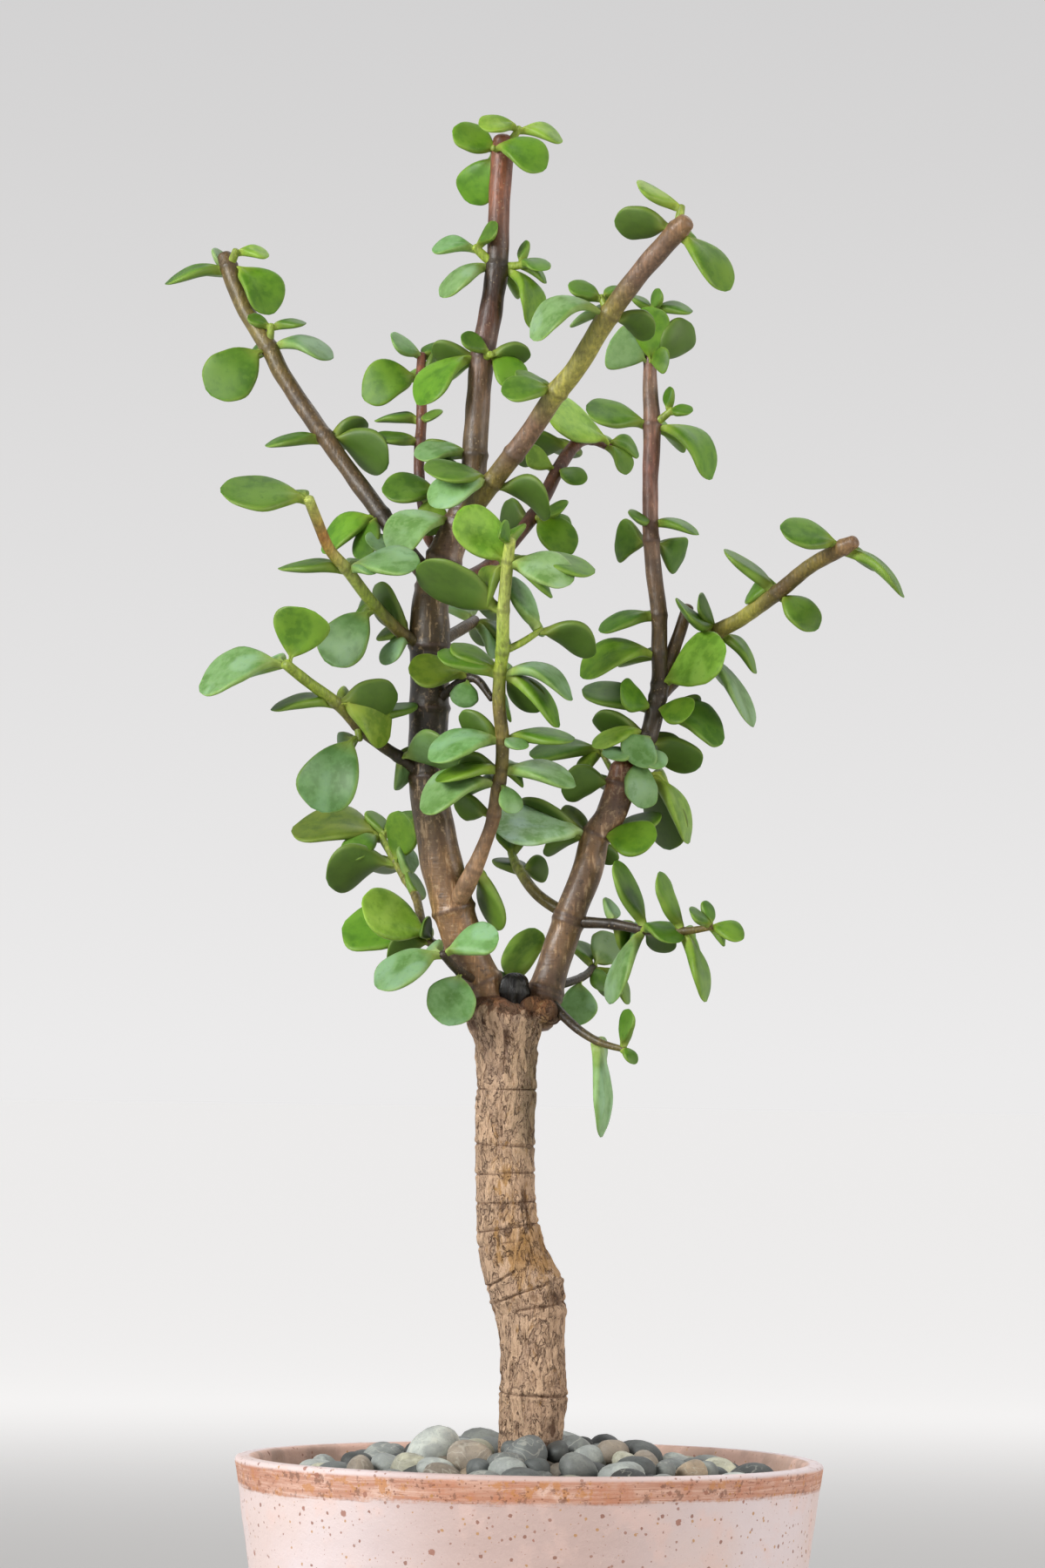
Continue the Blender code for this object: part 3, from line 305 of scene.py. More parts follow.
STEMS["thin_upright"] = Plan("left_limb", [RUSSET, MAROON, RUSSET],
    [(-19.4, 207.4, 0), (-23.4, 213, 7), (-24.4, 220.4, 10), (-25.2, 227.4, 12), (-25, 234.4, 15),
     (-24.6, 239.4, 17), (-24.8, 249.4, 20), (-24.6, 254.2, 22)],
    [2.8, 2.6, 2.5, 2.5, 2.5, 2.4, 2.4, 2.2],
    [(6, -13, -5, -4, 9.6, BRIGHT), (6, 4, 4.4, 5, -3.6, DARK), (7, -7, 4.6, -4, 3.4, PALE),
     (7, 3.4, 3, 4, 3, MID), (5, -10.4, -0.2, 3, 2, MID), (5, 3.4, 0.8, -7, 2, MID),
     (4, -10.4, 1, -2, 2.8, MID), (8, -13.4, 1.2, -3, 7, MID), (8, -4.4, -8.8, -3, 7.6, YELLOW)],
    twigs=[(2, 4.4, 1.4, -5, 2)])
STEMS["upper_right"] = Plan("left_limb", [BROWN, KHAKI, KHAKI, MAUVE, MAUVE, OLIVE, OLIVE, OLIVE, KHAKI,
                                          MAUVE, MAUVE, TAN],
    [(-16, 214.5, 0), (-12.6, 219.5, -6.5), (-8.4, 225, -9.5), (-3.4, 231.4, -13), (1, 237.4, -16),
     (6.6, 245.8, -21), (11.4, 251.8, -25), (18.6, 263.8, -31), (26.6, 274.4, -37), (34.2, 283, -42),
     (36.2, 285, -43)],
    [4.8, 4.8, 4.8, 4.8, 4.6, 4.8, 4.6, 4.8, 4.6, 4.8, 4.2],
    [(11, -10, 5.6, -2, 3.2, YELLOW), (9, -14, 1.6, 4, -6, DARK), (9, 11.4, -13.6, -3, 6.8, BRIGHT),
     (7, -17.4, -5.8, -4, 6, PALE, 0.12), (12, -7.2, 2.8, -1, 4, MID), (12, -4.6, -0.4, 4, 2.4, MID),
     (12, 4, 2.4, 2, 2.4, MID), (7, 9.6, -5.4, 5, -4.8, DARK), (5, -9, 4.8, 4, 3.2, MID),
     (5, -12.4, -0.4, -5, 6, MID), (5, 3, 5.6, 5, 2.4, MID), (3, -2.4, -1.4, 9, 3.2, MID),
     (2, 13, -7.6, -2, -5.6, DARK), (2, -15, 2.4, -8, 5, MID), (2, -13.4, -5.6, -8, 7, PALE)],
    twigs=[(9, 1, 5.6, 1, 2.2), (7, -2, 4, 1, 2)],
    bare=(2,))
STEMS["back_right"] = Plan("left_limb", [RUSSET, MAROON, MAROON],
    [(-21.4, 200.2, 0), (-9.4, 205.4, 14), (1, 217, 24), (6.6, 227.4, 31), (10.6, 233.4, 39),
     (14.4, 234.8, 45), (18.6, 233, 46.5)],
    [3.4, 3.2, 3.2, 3.2, 3, 2.6, 2],
    [(6, -14.8, 8.8, -12, 8.8, FRESH), (6, 6.6, -1.8, 2, 4, MID), (6, 3.6, -6.2, -4, 3.6, MID),
     (5, -4, 7.4, 4, 2.8, PALE), (4, -13.6, -3.2, 3, -6.4, DARK), (3, 5.4, -3, -7, 4.2, MID),
     (3, -7, 4.4, -5, 5.2, YELLOW), (7, 5.2, 2.8, -5, 2.8, BRIGHT), (7, 6.4, -4.4, 3, 4.4, BRIGHT),
     (2, -7.4, -1.6, 6, -8, DARK), (2, 8.6, -8.6, -5, 8, BRIGHT)],
    twigs=[(2, 2.4, -0.4, -3, 1.8)])
STEMS["inner_upper"] = Plan("left_limb", [UMBER, BROWN],
    [(-22.6, 187, 0), (-14.8, 191.4, 14), (-12.4, 193, 20)],
    [3, 2.8, 2.4],
    [(2, 4.2, -8.6, -2, 2.4, PALE), (2, 4.6, -5.6, 9, -6.8, DARK), (2, 8.6, -6.6, 3, 3, DARK),
     (2, -6, 5, 9, 6, PALE)])
STEMS["inner_lower"] = Plan("left_limb", [UMBER],
    [(-22.8, 173, 0), (-13.4, 180, -8), (-8.4, 175, -11)],
    [2.4, 2.1, 1.6],
    [(1, -13.8, 1.4, -4, 7.2, MOSS), (1, -2, -6.8, -2, 6.4, PALE), (2, 4, -4, 7, 3, MID)])
STEMS["right_upright"] = Plan("right_limb", [BROWN, UMBER, BROWN, MAUVE, ROSE, MAUVE, PLUM],
    [(21.4, 155, 4), (24.2, 162.2, 5), (27.6, 166.4, 6), (29, 172.4, 7), (30.2, 178.4, 8), (30, 185.4, 8),
     (30, 194.2, 8), (28.6, 205.4, 9), (28.2, 211.4, 9), (28, 215.8, 9), (28, 225.4, 10), (28.4, 238, 11),
     (28, 245.4, 12), (28, 253, 12), (28.6, 265, 13)],
    [4.6, 4.6, 4.4, 4.2, 4, 3.8, 3.8, 3.7, 3.8, 3.8, 3.6, 4.2, 3.6, 3, 1.6],
    [(13, -9.4, 3.4, -5, 11.2, PALE), (13, -0.6, 12, -5, 9, BRIGHT), (13, 9.6, 7.8, 3, -7.4, DARK),
     (13, 4.2, -0.6, -7, 6, MID), (14, 9, -0.6, 0, 2.8, MID), (14, -4.2, 3, 3, 2.4, MID),
     (14, 1.6, 4.4, -3, 2.4, MID), (11, 13.2, -12.2, -3, 6, BRIGHT, 0.12), (15, -0.6, 5.2, 1, 2, MID),
     (15, 4.6, -0.4, -3, 2.4, MID), (11, -14.8, 4, -3, 6.4, MID), (9, -4, 1.2, -7, 1.8, MID),
     (9, 10.8, -3, -3, 1.8, MID), (8, -8.2, -1.6, 8, 9.2, MID), (8, 7.4, -4, 8, 8.8, MID),
     (6, -13.4, -3.6, -2, 3.6, MID), (5, -17.4, -5.4, -5, 6.4, BRIGHT, 0.1), (3, -16, 5, 3, 6.4, MID),
     (4, 14.8, 8, -11, 10.4, FRESH), (3, -7.6, 5.8, -6, 5.6, BRIGHT), (3, 8.4, -0.4, -8, 6, BRIGHT),
     (3, 10.2, 1, 6.5, -4.4, DARK), (3, 15.4, -7, 0, 7.6, MID), (2, 11, -7.4, 6, -7.2, DARK),
     (2, -12.6, 3.2, 5, -4.4, DARK), (2, -12.2, -2.6, -5, 3.2, YELLOW), (2, -3, -6.6, -8, 8.8, PALE),
     (1, 6.8, -2.8, -6, 4, PALE), (1, -6, -0.8, -8, 3.2, PALE), (1, 1.4, -12, -6, 7.2, PALE),
     (16, 8.4, -14.6, 1, 4.4, YELLOW), (16, 3.4, -16, 7, -8, DARK)],
    twigs=[(11, 4.6, 3.6, -2, 2), (1, 4, -5.4, 4, 2), (4, 6.4, 17.6, 3.5, 3.4)],
    bare=(4,))
STEMS["right_branch"] = Plan("right_upright", [BROWN, BROWN, KHAKI, OLIVE, BROWN, KHAKI, TAN],
    [(29.4, 175.4, 8), (34, 180.2, 13.4), (38.6, 186.4, 13), (43.6, 190.6, 9), (48.6, 193.2, 5),
     (57.2, 199.4, -3), (64.6, 205.4, -10), (72.2, 209.8, -17), (74.8, 211, -19)],
    [4, 3.8, 3.7, 3.6, 3.5, 3.6, 3.4, 3.7, 3.2],
    [(7, -14, 4.6, -3, 6.4, MID), (7, 13.8, -11.2, 1, 2.4, MID), (5, -11.8, 9.8, 2, 2.8, MID),
     (5, -6.8, -0.6, 8, 5.2, MID), (5, 8.8, -8.4, -3, 6.8, MID), (3, -4.4, 7.6, -6, 2.8, MID),
     (3, -8.6, 6, -9, 2.4, MID), (3, 8.6, -9.4, 3, 2.8, MID), (2, 12.4, -17.4, -5, 3.4, PALE)])
STEMS["low_right"] = Plan("right_limb", [UMBER, UMBER, KHAKI],
    [(9.2, 123.8, 3), (19.6, 123.2, -2), (27, 121.8, -7), (35.6, 121.6, -13), (42.2, 122.6, -18)],
    [2.8, 2.4, 2.2, 1.8, 1.4],
    [(1, -0.6, 5.4, 6, 3.6, PALE), (1, 4, -4, 9, 7, MOSS), (2, -6.8, 15.6, 0, 4.4, MID),
     (2, -7.8, -16.4, -4, 3.6, PALE), (2, 4.6, -5, 8, -4.8, DARK), (2, 6.8, -2.8, -9, 3.6, MID),
     (3, -5.6, 13.2, -2, 3.6, BRIGHT), (3, 4.8, -15.8, 0, 3, BRIGHT), (4, -5.2, 3.8, -3, 2, MID),
     (4, -1.2, 5.8, 3, 2.8, MID), (4, 6.8, -2.8, -3, 4, BRIGHT), (4, 2.8, -4, 3, 1.8, MID)])
STEMS["inner_right"] = Plan("right_limb", [KHAKI, KHAKI, GREEN],
    [(9.6, 125, 3), (2.2, 129.8, 7), (-2.4, 136, 13), (-4, 139.8, 17)],
    [2.8, 2.6, 2.4, 1.8],
    [(2, 6.8, -0.6, 4, -6.4, DARK), (2, -3.2, 2.4, 9, 4.8, DARK), (3, 3, 6, 5, 4, MID),
     (3, -3, 5, -3, 3, MID)])
STEMS["drooping"] = Plan("right_limb", [UMBER, UMBER, KHAKI],
    [(3.6, 107, 2), (9.6, 100.6, -6), (15.6, 96.4, -11), (22.2, 94.4, -16)],
    [2.6, 2.2, 1.8, 1.4],
    [(2, 1, -21.4, 1, 3.2, PALE), (3, 1, 9, -2, 3, MID), (3, 1.8, -3.2, -3, 2, MID)])
STEMS["back_low"] = Plan("right_limb", [UMBER],
    [(4.2, 108.4, 2), (12.2, 111, 15), (15, 113.4, 24)],
    [2.2, 1.9, 1.8],
    [(1, -2.2, -10.8, -3, 8.4, PALE), (2, -4, 6, 4, 4.4, MID), (2, 6.6, 6, 2, 8.8, PALE),
     (2, 1.6, -5.4, -6, 4.4, MID), (2, 4.6, -7, 5, -5.2, DARK), (2, 8, -8, 1, 3.2, MID)])
STEMS["fork_twig"] = Plan("trunk", [MAROON],
    [(-4.6, 102, 6), (-5, 109.8, 9.6), (-5, 111, 10)],
    [2.6, 2.2, 1.6],
    [(1, 5.6, 12.2, 5, 7.6, FRESH), (1, -2.8, 3, 3, 2.4, PALE)])


class Value:
    """A shader socket. Python's operators on values add the Math nodes that work them out."""

    def __init__(self, finish, socket):
        self.finish = finish
        self.socket = socket

    def maths(self, operation, *others):
        """One Math node on this value and others."""
        return self.finish.node("Math", {"operation": operation}, dict(enumerate((self, *others))))

    def __rsub__(self, other):
        """A plain number less this value."""
        return self.finish.node("Math", {"operation": "SUBTRACT"}, {0: other, 1: self})

    __add__ = __radd__ = partialmethod(maths, "ADD")
    __sub__ = partialmethod(maths, "SUBTRACT")
    __mul__ = __rmul__ = partialmethod(maths, "MULTIPLY")
    __abs__ = partialmethod(maths, "ABSOLUTE")


class Finish:
    """A material under construction, with its fixed numbers set on the shader's own sockets."""

    def __init__(self, name, **fixed):
        self.material = bpy.data.materials.new(name)
        self.material.use_nodes = True
        self.tree = self.material.node_tree
        self.shader = self.tree.nodes["Principled BSDF"]
        self.set(**fixed)
        self.place = self.node("TexCoord", output="Object")

    def node(self, kind, settings=None, inputs=None, output=0):
        """Add a node of any kind, set it, feed its inputs and give one of its outputs as a Value."""
        made = self.tree.nodes.new("ShaderNode" + kind)
        for name, value in (settings or {}).items():
            setattr(made, name, value)
        for name, value in (inputs or {}).items():
            self.feed(made.inputs[name], value)
        return Value(self, made.outputs[output])

    def feed(self, socket, value):
        """Link a socket to a Value, or set it to a plain number, vector or colour."""
        if isinstance(value, Value):
            self.tree.links.new(value.socket, socket)
        elif socket.type == "RGBA":
            socket.default_value = (*value, 1.0)
        else:
            socket.default_value = value

    def set(self, **inputs):
        """Feed the shader's inputs, whose names have _ for each space."""
        for name, value in inputs.items():
            self.feed(self.shader.inputs[name.replace("_", " ")], value)

    def parts(self, vector):
        """The three parts of a vector, each a Value."""
        return [self.node("SeparateXYZ", inputs={0: vector}, output=axis) for axis in "XYZ"]

    def tint(self):
        """Each shell's own colour."""
        return self.node("Attribute", {"attribute_name": "tint"}, output="Color")

    def marks(self):
        """The three marks that the shell's maker left for its finish."""
        return self.parts(self.node("Attribute", {"attribute_name": "mark"}, output="Vector"))

    def noise(self, scale, detail=3.0, rough=0.55, warp=0.0, vector=None):
        """Cloudy noise from 0 to 1, with scale in clouds a metre."""
        return self.node("TexNoise", None, {
            "Vector": vector or self.place, "Scale": scale, "Detail": detail,
            "Roughness": rough, "Distortion": warp})

    def grain(self, across, upward, detail, rough, warp=0.0):
        """Noise with a scale of its own across the object and up it."""
        scales = {"Vector": self.place, "Scale": (across, across, upward)}
        return self.noise(1.0, detail, rough, warp, self.node("Mapping", None, scales))

    def cells(self, scale, output="Distance"):
        """The distance to the nearest of scattered points, or another output of their cells."""
        return self.node("TexVoronoi", None, {"Vector": self.place, "Scale": scale}, output)

    def specks(self, scale, reach, fray):
        """Ragged spots, one a cell, whose radius goes up to reach as a share of the cell's size."""
        own, _, _ = self.parts(self.cells(scale, "Color"))
        edge = (0.3 + 0.7 * own) * reach
        frayed = self.cells(scale) + 1.3 * reach * (fray - 0.5)
        return self.step(frayed, edge + 0.06 * reach, edge - 0.08 * reach)

    def step(self, value, low, high):
        """0 below low and 1 above high, eased between them; low may be the larger."""
        return self.node("MapRange", {"interpolation_type": "SMOOTHSTEP"},
                         {"Value": value, "From Min": low, "From Max": high})

    def mix(self, share, first, second, blend="MIX"):
        """The first colour where share is 0 and the second, or its blend, where share is 1."""
        return self.node("Mix", {"data_type": "RGBA", "blend_type": blend, "clamp_factor": True},
                         {0: share, 6: first, 7: second}, output=2)

    def times(self, colour, *factors):
        """A colour with its red, green and blue multiplied by factors."""
        return self.mix(1.0, colour, factors, "MULTIPLY")

    def lay(self, colour, *coats):
        """Lay coats over a colour. A coat is (mask, share, shade) or (value, low, high, share, shade)."""
        for value, *edges, share, shade in coats:
            mask = self.step(value, *edges) if edges else value
            colour = self.mix(mask * share, colour, shade if isinstance(shade, Value) else paint(*shade))
        return colour

    def surface(self, colour, roughness, *reliefs):
        """Set the varying inputs and give the material. A relief is (height, strength, depth in metres)."""
        under = {}
        for height, strength, depth in reliefs:
            inputs = {"Height": height, "Strength": strength, "Distance": depth, **under}
            under = {"Normal": self.node("Bump", None, inputs)}
        self.set(Base_Color=colour, Roughness=roughness, **under)
        return self.material


class Shells:
    """Closed shells gathered for one piece, with the tint and the marks that its finishes read."""

    def __init__(self):
        self.points, self.tints, self.marks = [], [], []
        self.faces, self.finishes = [], []
        self.count = 0

    def add(self, grid, marks, tint=(1, 1, 1), finish=0):
        """Close a grid of rings (rings, sides, 3) by a pole at each end, with its faces outward.

        marks has three numbers or arrays over the grid, and tint is one colour, or one a ring.
        """
        rings, sides, _ = grid.shape
        marks = np.stack([np.broadcast_to(mark, (rings, sides)) for mark in marks], -1)
        points = np.concatenate([grid[:1].mean(1), grid.reshape(-1, 3), grid[-1:].mean(1)])
        marks, tint = (np.pad(rows.reshape(-1, 3), ((1, 1), (0, 0)), "edge")
                       for rows in (marks, np.broadcast_to(tint, grid.shape)))
        here = 1 + np.arange(sides)
        turn = np.roll(here, -1)
        steps = (np.arange(rings - 1) * sides)[:, None]
        fours = np.stack([here + steps, turn + steps, turn + steps + sides, here + steps + sides], -1)
        fours = fours.reshape(-1, 4)
        last = (rings - 1) * sides
        threes = np.concatenate([np.stack([turn, here, 0 * here], -1),
                                 np.stack([here + last, turn + last, 0 * here + len(points) - 1], -1)])
        corners = np.concatenate([fours[:, :3], fours[:, [0, 2, 3]], threes])
        a, b, c = (points[corners[:, k]] - points[0] for k in range(3))
        outward = 1 if (a * np.cross(b, c)).sum() >= 0 else -1
        for faces in (fours, threes):
            self.faces += (faces[:, ::outward] + self.count).tolist()
            self.finishes += [finish] * len(faces)
        self.points.append(points)
        self.tints.append(tint)
        self.marks.append(marks)
        self.count += len(points)

    def piece(self, name, materials, slot, *nodes):
        """Make the shells one smooth piece that rides on the object's one body, in place of its solids."""
        mesh = bpy.data.meshes.new(name)
        mesh.from_pydata(np.concatenate(self.points), [], self.faces)
        for material in materials:
            mesh.materials.append(material)
        mesh.polygons.foreach_set("material_index", self.finishes)
        mesh.shade_smooth()
        tints = np.insert(np.concatenate(self.tints), 3, 1.0, axis=1)
        for attribute, kind, field, rows in (("tint", "FLOAT_COLOR", "color", tints),
                                             ("mark", "FLOAT_VECTOR", "vector", np.concatenate(self.marks))):
            made = mesh.attributes.new(attribute, kind, "POINT")
            made.data.foreach_set(field, rows.astype(np.float32).ravel())
        made = bpy.data.objects.new(name, mesh)
        bpy.context.scene.collection.objects.link(made)
        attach(made, "root")
        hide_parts(*nodes)
        return made


def unit(vectors):
    """Each vector divided by its length."""
    return vectors / np.linalg.norm(vectors, axis=-1, keepdims=True)


def place(points):
    """The places of points seen at (across, up), each moved away from the eye along its line of sight."""
    across, up, away = np.atleast_2d(np.asarray(points, float)).T
    level_across = across * math.cos(LEAN) - up * math.sin(LEAN)
    level_up = across * math.sin(LEAN) + up * math.cos(LEAN)
    spread = 1 + away / EYE_DISTANCE
    return MM * np.stack([EYE_ACROSS + (level_across - EYE_ACROSS) * spread, away,
                          POT_HEIGHT + EYE_UP + (level_up - EYE_UP) * spread], -1)


def turns(sides):
    """Angles spread evenly over a full turn."""
    return np.arange(sides) * math.tau / sides


def travel(line):
    """The way travelled along a line at each of its points."""
    return np.concatenate([[0], np.cumsum(np.linalg.norm(np.diff(line, axis=0), axis=1))])


def hump(values, width):
    """A bell curve, 1 where the values are 0."""
    return np.exp(-(values / width) ** 2)


def smooth_line(points, widths, step):
    """A Catmull-Rom curve through points, read every step (mm) or so, with its radius and its index."""
    ends = np.concatenate([[2 * points[0] - points[1]], points, [2 * points[-1] - points[-2]]])
    spans = np.linalg.norm(np.diff(points, axis=0), axis=1)
    counts = np.maximum(2, np.ceil(spans / (step * MM)).astype(int))
    index = np.concatenate([k + np.arange(n) / n for k, n in enumerate(counts)] + [[len(points) - 1]])
    at = np.minimum(index.astype(int), len(points) - 2)
    t = (index - at)[:, None]
    p0, p1, p2, p3 = (ends[at + k] for k in range(4))
    line = 0.5 * (2 * p1 + (p2 - p0) * t + (2 * p0 - 5 * p1 + 4 * p2 - p3) * t ** 2
                  + (3 * p1 - p0 - 3 * p2 + p3) * t ** 3)
    return line, np.interp(index, range(len(points)), np.array(widths) / 2) * MM, index


def rounded_ends(line, radius, share=0.6, steps=END_RINGS):
    """Add rings at both ends of a line that draw in like a quarter circle, so that the tube is closed."""
    quarter = np.linspace(0.12, 1, steps) * math.pi / 2
    draw = np.cos(quarter * 0.97)
    push = np.sin(quarter)
    first, last = unit(line[0] - line[1]), unit(line[-1] - line[-2])
    head = line[0] + first * (radius[0] * share * push)[:, None]
    tail = line[-1] + last * (radius[-1] * share * push)[:, None]
    line = np.concatenate([head[::-1], line, tail])
    radius = np.concatenate([radius[0] * draw[::-1], radius, radius[-1] * draw])
    return line, radius


def sweep(line, radius):
    """A tube: rings square to a line, with a radius for each point (rings, sides)."""
    along = unit(np.gradient(line, axis=0))
    side = unit(np.cross(along, (0.0, 1.0, 0.0)))
    turn = turns(radius.shape[1])[:, None]
    return line[:, None] + radius[..., None] * (np.cos(turn) * side[:, None]
                                                + np.sin(turn) * np.cross(side, along)[:, None])


def waves(rng, count, *axes, fineness=1.0):
    """Unevenness from -1 to 1: the mean of waves of random directions and phases over some axes."""
    total = 0.0
    for _ in range(count):
        phase = rng.uniform(0, math.tau)
        total = total + np.sin(sum(rng.normal(0, fineness) * axis for axis in axes) + phase)
    return total / math.sqrt(count)


def round_waves(rng, count, bends, turn, *axes):
    """Waves over the skin of something round, and over any further axes."""
    return waves(rng, count, bends * np.cos(turn), bends * np.sin(turn), *axes)


def leaf_skin():
    """Waxy succulent skin: each leaf's own tint, mottled, yellower at its base, painted rim light on its
    margin.
    """
    f = Finish("leaf_skin", Specular_IOR_Level=0.3, Subsurface_Weight=0.12,
               Subsurface_Radius=(0.4, 1.0, 0.15), Subsurface_Scale=0.0016)
    tint = f.tint()
    along, margin, top = f.marks()
    clouds = f.noise(150, 0)
    mottles = f.noise(520, 4, 0.6)
    colour = f.lay(
        tint,
        (f.noise(170, 3), 0.44, 0.62, 0.8, f.times(tint, 0.54, 0.65, 0.34)),
        (clouds, 0.5, 0.7, 0.55, f.times(tint, 1.75, 1.46, 2.7)),
        (mottles, 0.46, 0.6, 0.4, f.times(tint, 1.4, 1.25, 1.5)),
        (mottles, 0.46, 0.32, 0.5, f.times(tint, 0.66, 0.74, 0.55)),
        (along, 0.34, 0.0, 0.55, (152, 160, 66)),
        # Painted rim light: the margin paler all round the blade
        (margin, 0.84, 1.0, 0.26, (146, 166, 74)),
        (1 - top, 0.25, (112, 140, 60)),
        (f.noise(1500, 3, 0.65), 0.62, 0.74, 0.16, (58, 84, 30)))
    return f.surface(colour, 0.42 + 0.16 * clouds, (clouds, 0.5, 0.0006))


def stem_skin():
    """Young skin: the stem's own tint in fine long streaks, with pale corky dots and dark joints."""
    f = Finish("stem_skin", Specular_IOR_Level=0.45, Coat_Weight=0.16, Coat_Roughness=0.26)
    tint = f.tint()
    joint, _, _ = f.marks()
    streaks = f.grain(1500, 260, 4, 0.6)
    blotches = f.noise(240, 3)
    dots = f.cells(900)
    colour = f.lay(
        tint,
        (streaks, 0.48, 0.66, 0.6, f.times(tint, 1.8, 1.7, 1.6)),
        (streaks, 0.46, 0.34, 0.6, f.times(tint, 0.5, 0.46, 0.4)),
        (blotches, 0.48, 0.64, 0.6, f.times(tint, 0.46, 0.42, 0.38)),
        (dots, 0.2, 0.08, 0.35, (176, 152, 112)),
        (joint, 0.45, 0.95, 0.55, f.times(tint, 0.42, 0.38, 0.36)))
    return f.surface(colour, 0.4 + 0.22 * blotches, (streaks + dots * 0.4, 0.5, 0.0005))


def limb_bark():
    """Older smooth bark: brown with silvery long streaks, partly painted highlight, fine rings and dark
    joints.
    """
    f = Finish("limb_bark", Specular_IOR_Level=0.45, Coat_Weight=0.25, Coat_Roughness=0.3)
    tint = f.tint()
    joint, _, _ = f.marks()
    streaks = f.grain(900, 130, 5, 0.62)
    rings = f.grain(160, 1500, 3, 0.5)
    blotches = f.noise(150, 4)
    scars = f.noise(620, 4, 0.65)
    colour = f.lay(
        tint,
        # Pale streaks: partly the bark's own, partly painted highlight along the limb
        (streaks, 0.5, 0.62, 0.6, f.times(tint, 1.9, 1.8, 1.7)),
        (streaks, 0.58, 0.68, 0.5, (190, 164, 128)),
        (streaks, 0.46, 0.34, 0.5, f.times(tint, 0.5, 0.46, 0.4)),
        (blotches, 0.52, 0.66, 0.6, f.times(tint, 0.52, 0.44, 0.40)),
        (rings, 0.6, 0.72, 0.4, (66, 46, 34)),
        (scars, 0.56, 0.66, 0.5, (168, 142, 106)),
        (scars, 0.42, 0.32, 0.6, (44, 32, 22)),
        (joint, 0.4, 0.95, 0.6, (62, 42, 32)))
    return f.surface(colour, 0.32 + 0.25 * blotches, (streaks * 0.7 + rings * 0.5, 0.5, 0.0007))


def trunk_bark():
    """Old flaky bark of tan, grey and ochre, pale on flakes, dark in pits and ring scars, partly painted
    shade.
    """
    f = Finish("trunk_bark", Specular_IOR_Level=0.3)
    deep, plate, ochre = f.marks()
    _, _, height = f.parts(f.place)
    plates = f.grain(330, 150, 4, 0.6, 0.6)
    spots = f.grain(480, 260, 5, 0.65, 0.4)
    threads = f.grain(1900, 330, 5, 0.7, 0.4)
    grains = f.noise(2400, 4, 0.7)
    line = f.step(abs(plates - 0.5), 0.02, 0.006) * f.step(spots, 0.44, 0.52)
    line = line + f.step(abs(spots - 0.47), 0.014, 0.004) * f.step(plates, 0.56, 0.46)
    collar = f.lay(paint(138, 92, 64), (spots, 0.45, 0.55, 1, (82, 54, 38)))
    colour = f.lay(
        paint(200, 174, 152),
        (f.noise(75, 3), 0.38, 0.62, 1, (184, 162, 146)),
        (plates, 0.5, 0.53, 0.65, (222, 196, 172)),
        (spots, 0.55, 0.62, 0.6, (140, 116, 92)),
        (f.grain(520, 210, 5, 0.7, 0.4) + 0.25 * ochre, 0.58, 0.7, 0.75, (170, 132, 70)),
        (plate, 0.3, (210, 184, 158)),
        (threads, 0.52, 0.62, 0.55, (112, 84, 62)),
        (threads, 0.64, 0.72, 0.5, (74, 50, 36)),
        (grains, 0.58, 0.7, 0.5, (222, 200, 174)),
        (grains, 0.42, 0.3, 0.5, (108, 82, 62)),
        (height + 0.02 * (spots - 0.5), (POT_HEIGHT + COLLAR_FOOT) * MM, (POT_HEIGHT + COLLAR_FULL) * MM,
         0.8, collar),
        (line, 0.7, (78, 52, 36)),
        # Partly painted shade: pits, fissures and ring scars darkened as hollows, over the darker bark inside
        # them
        (deep, 0.3, 0.9, 0.7, (84, 56, 40)))
    relief = threads * -0.9 + grains * 0.5 + f.step(plates, 0.49, 0.53) * 0.5 - line * 0.6
    return f.surface(f.times(colour, 1.0, 0.91, 0.8), 0.74 + 0.2 * grains - 0.08 * plate,
                     (relief, 1.0, 0.0011))


def dead_wood():
    """Black dead wood, worn to a dull gloss on its ribs."""
    f = Finish("dead_wood", Specular_IOR_Level=0.4)
    rib, _, _ = f.marks()
    streaks = f.grain(1400, 300, 4, 0.6)
    colour = f.lay(paint(9, 7, 6), (streaks, 0.5, 0.7, 0.6, (34, 27, 21)))
    return f.surface(colour, 0.42 - 0.24 * rib, (streaks, 0.6, 0.0006))


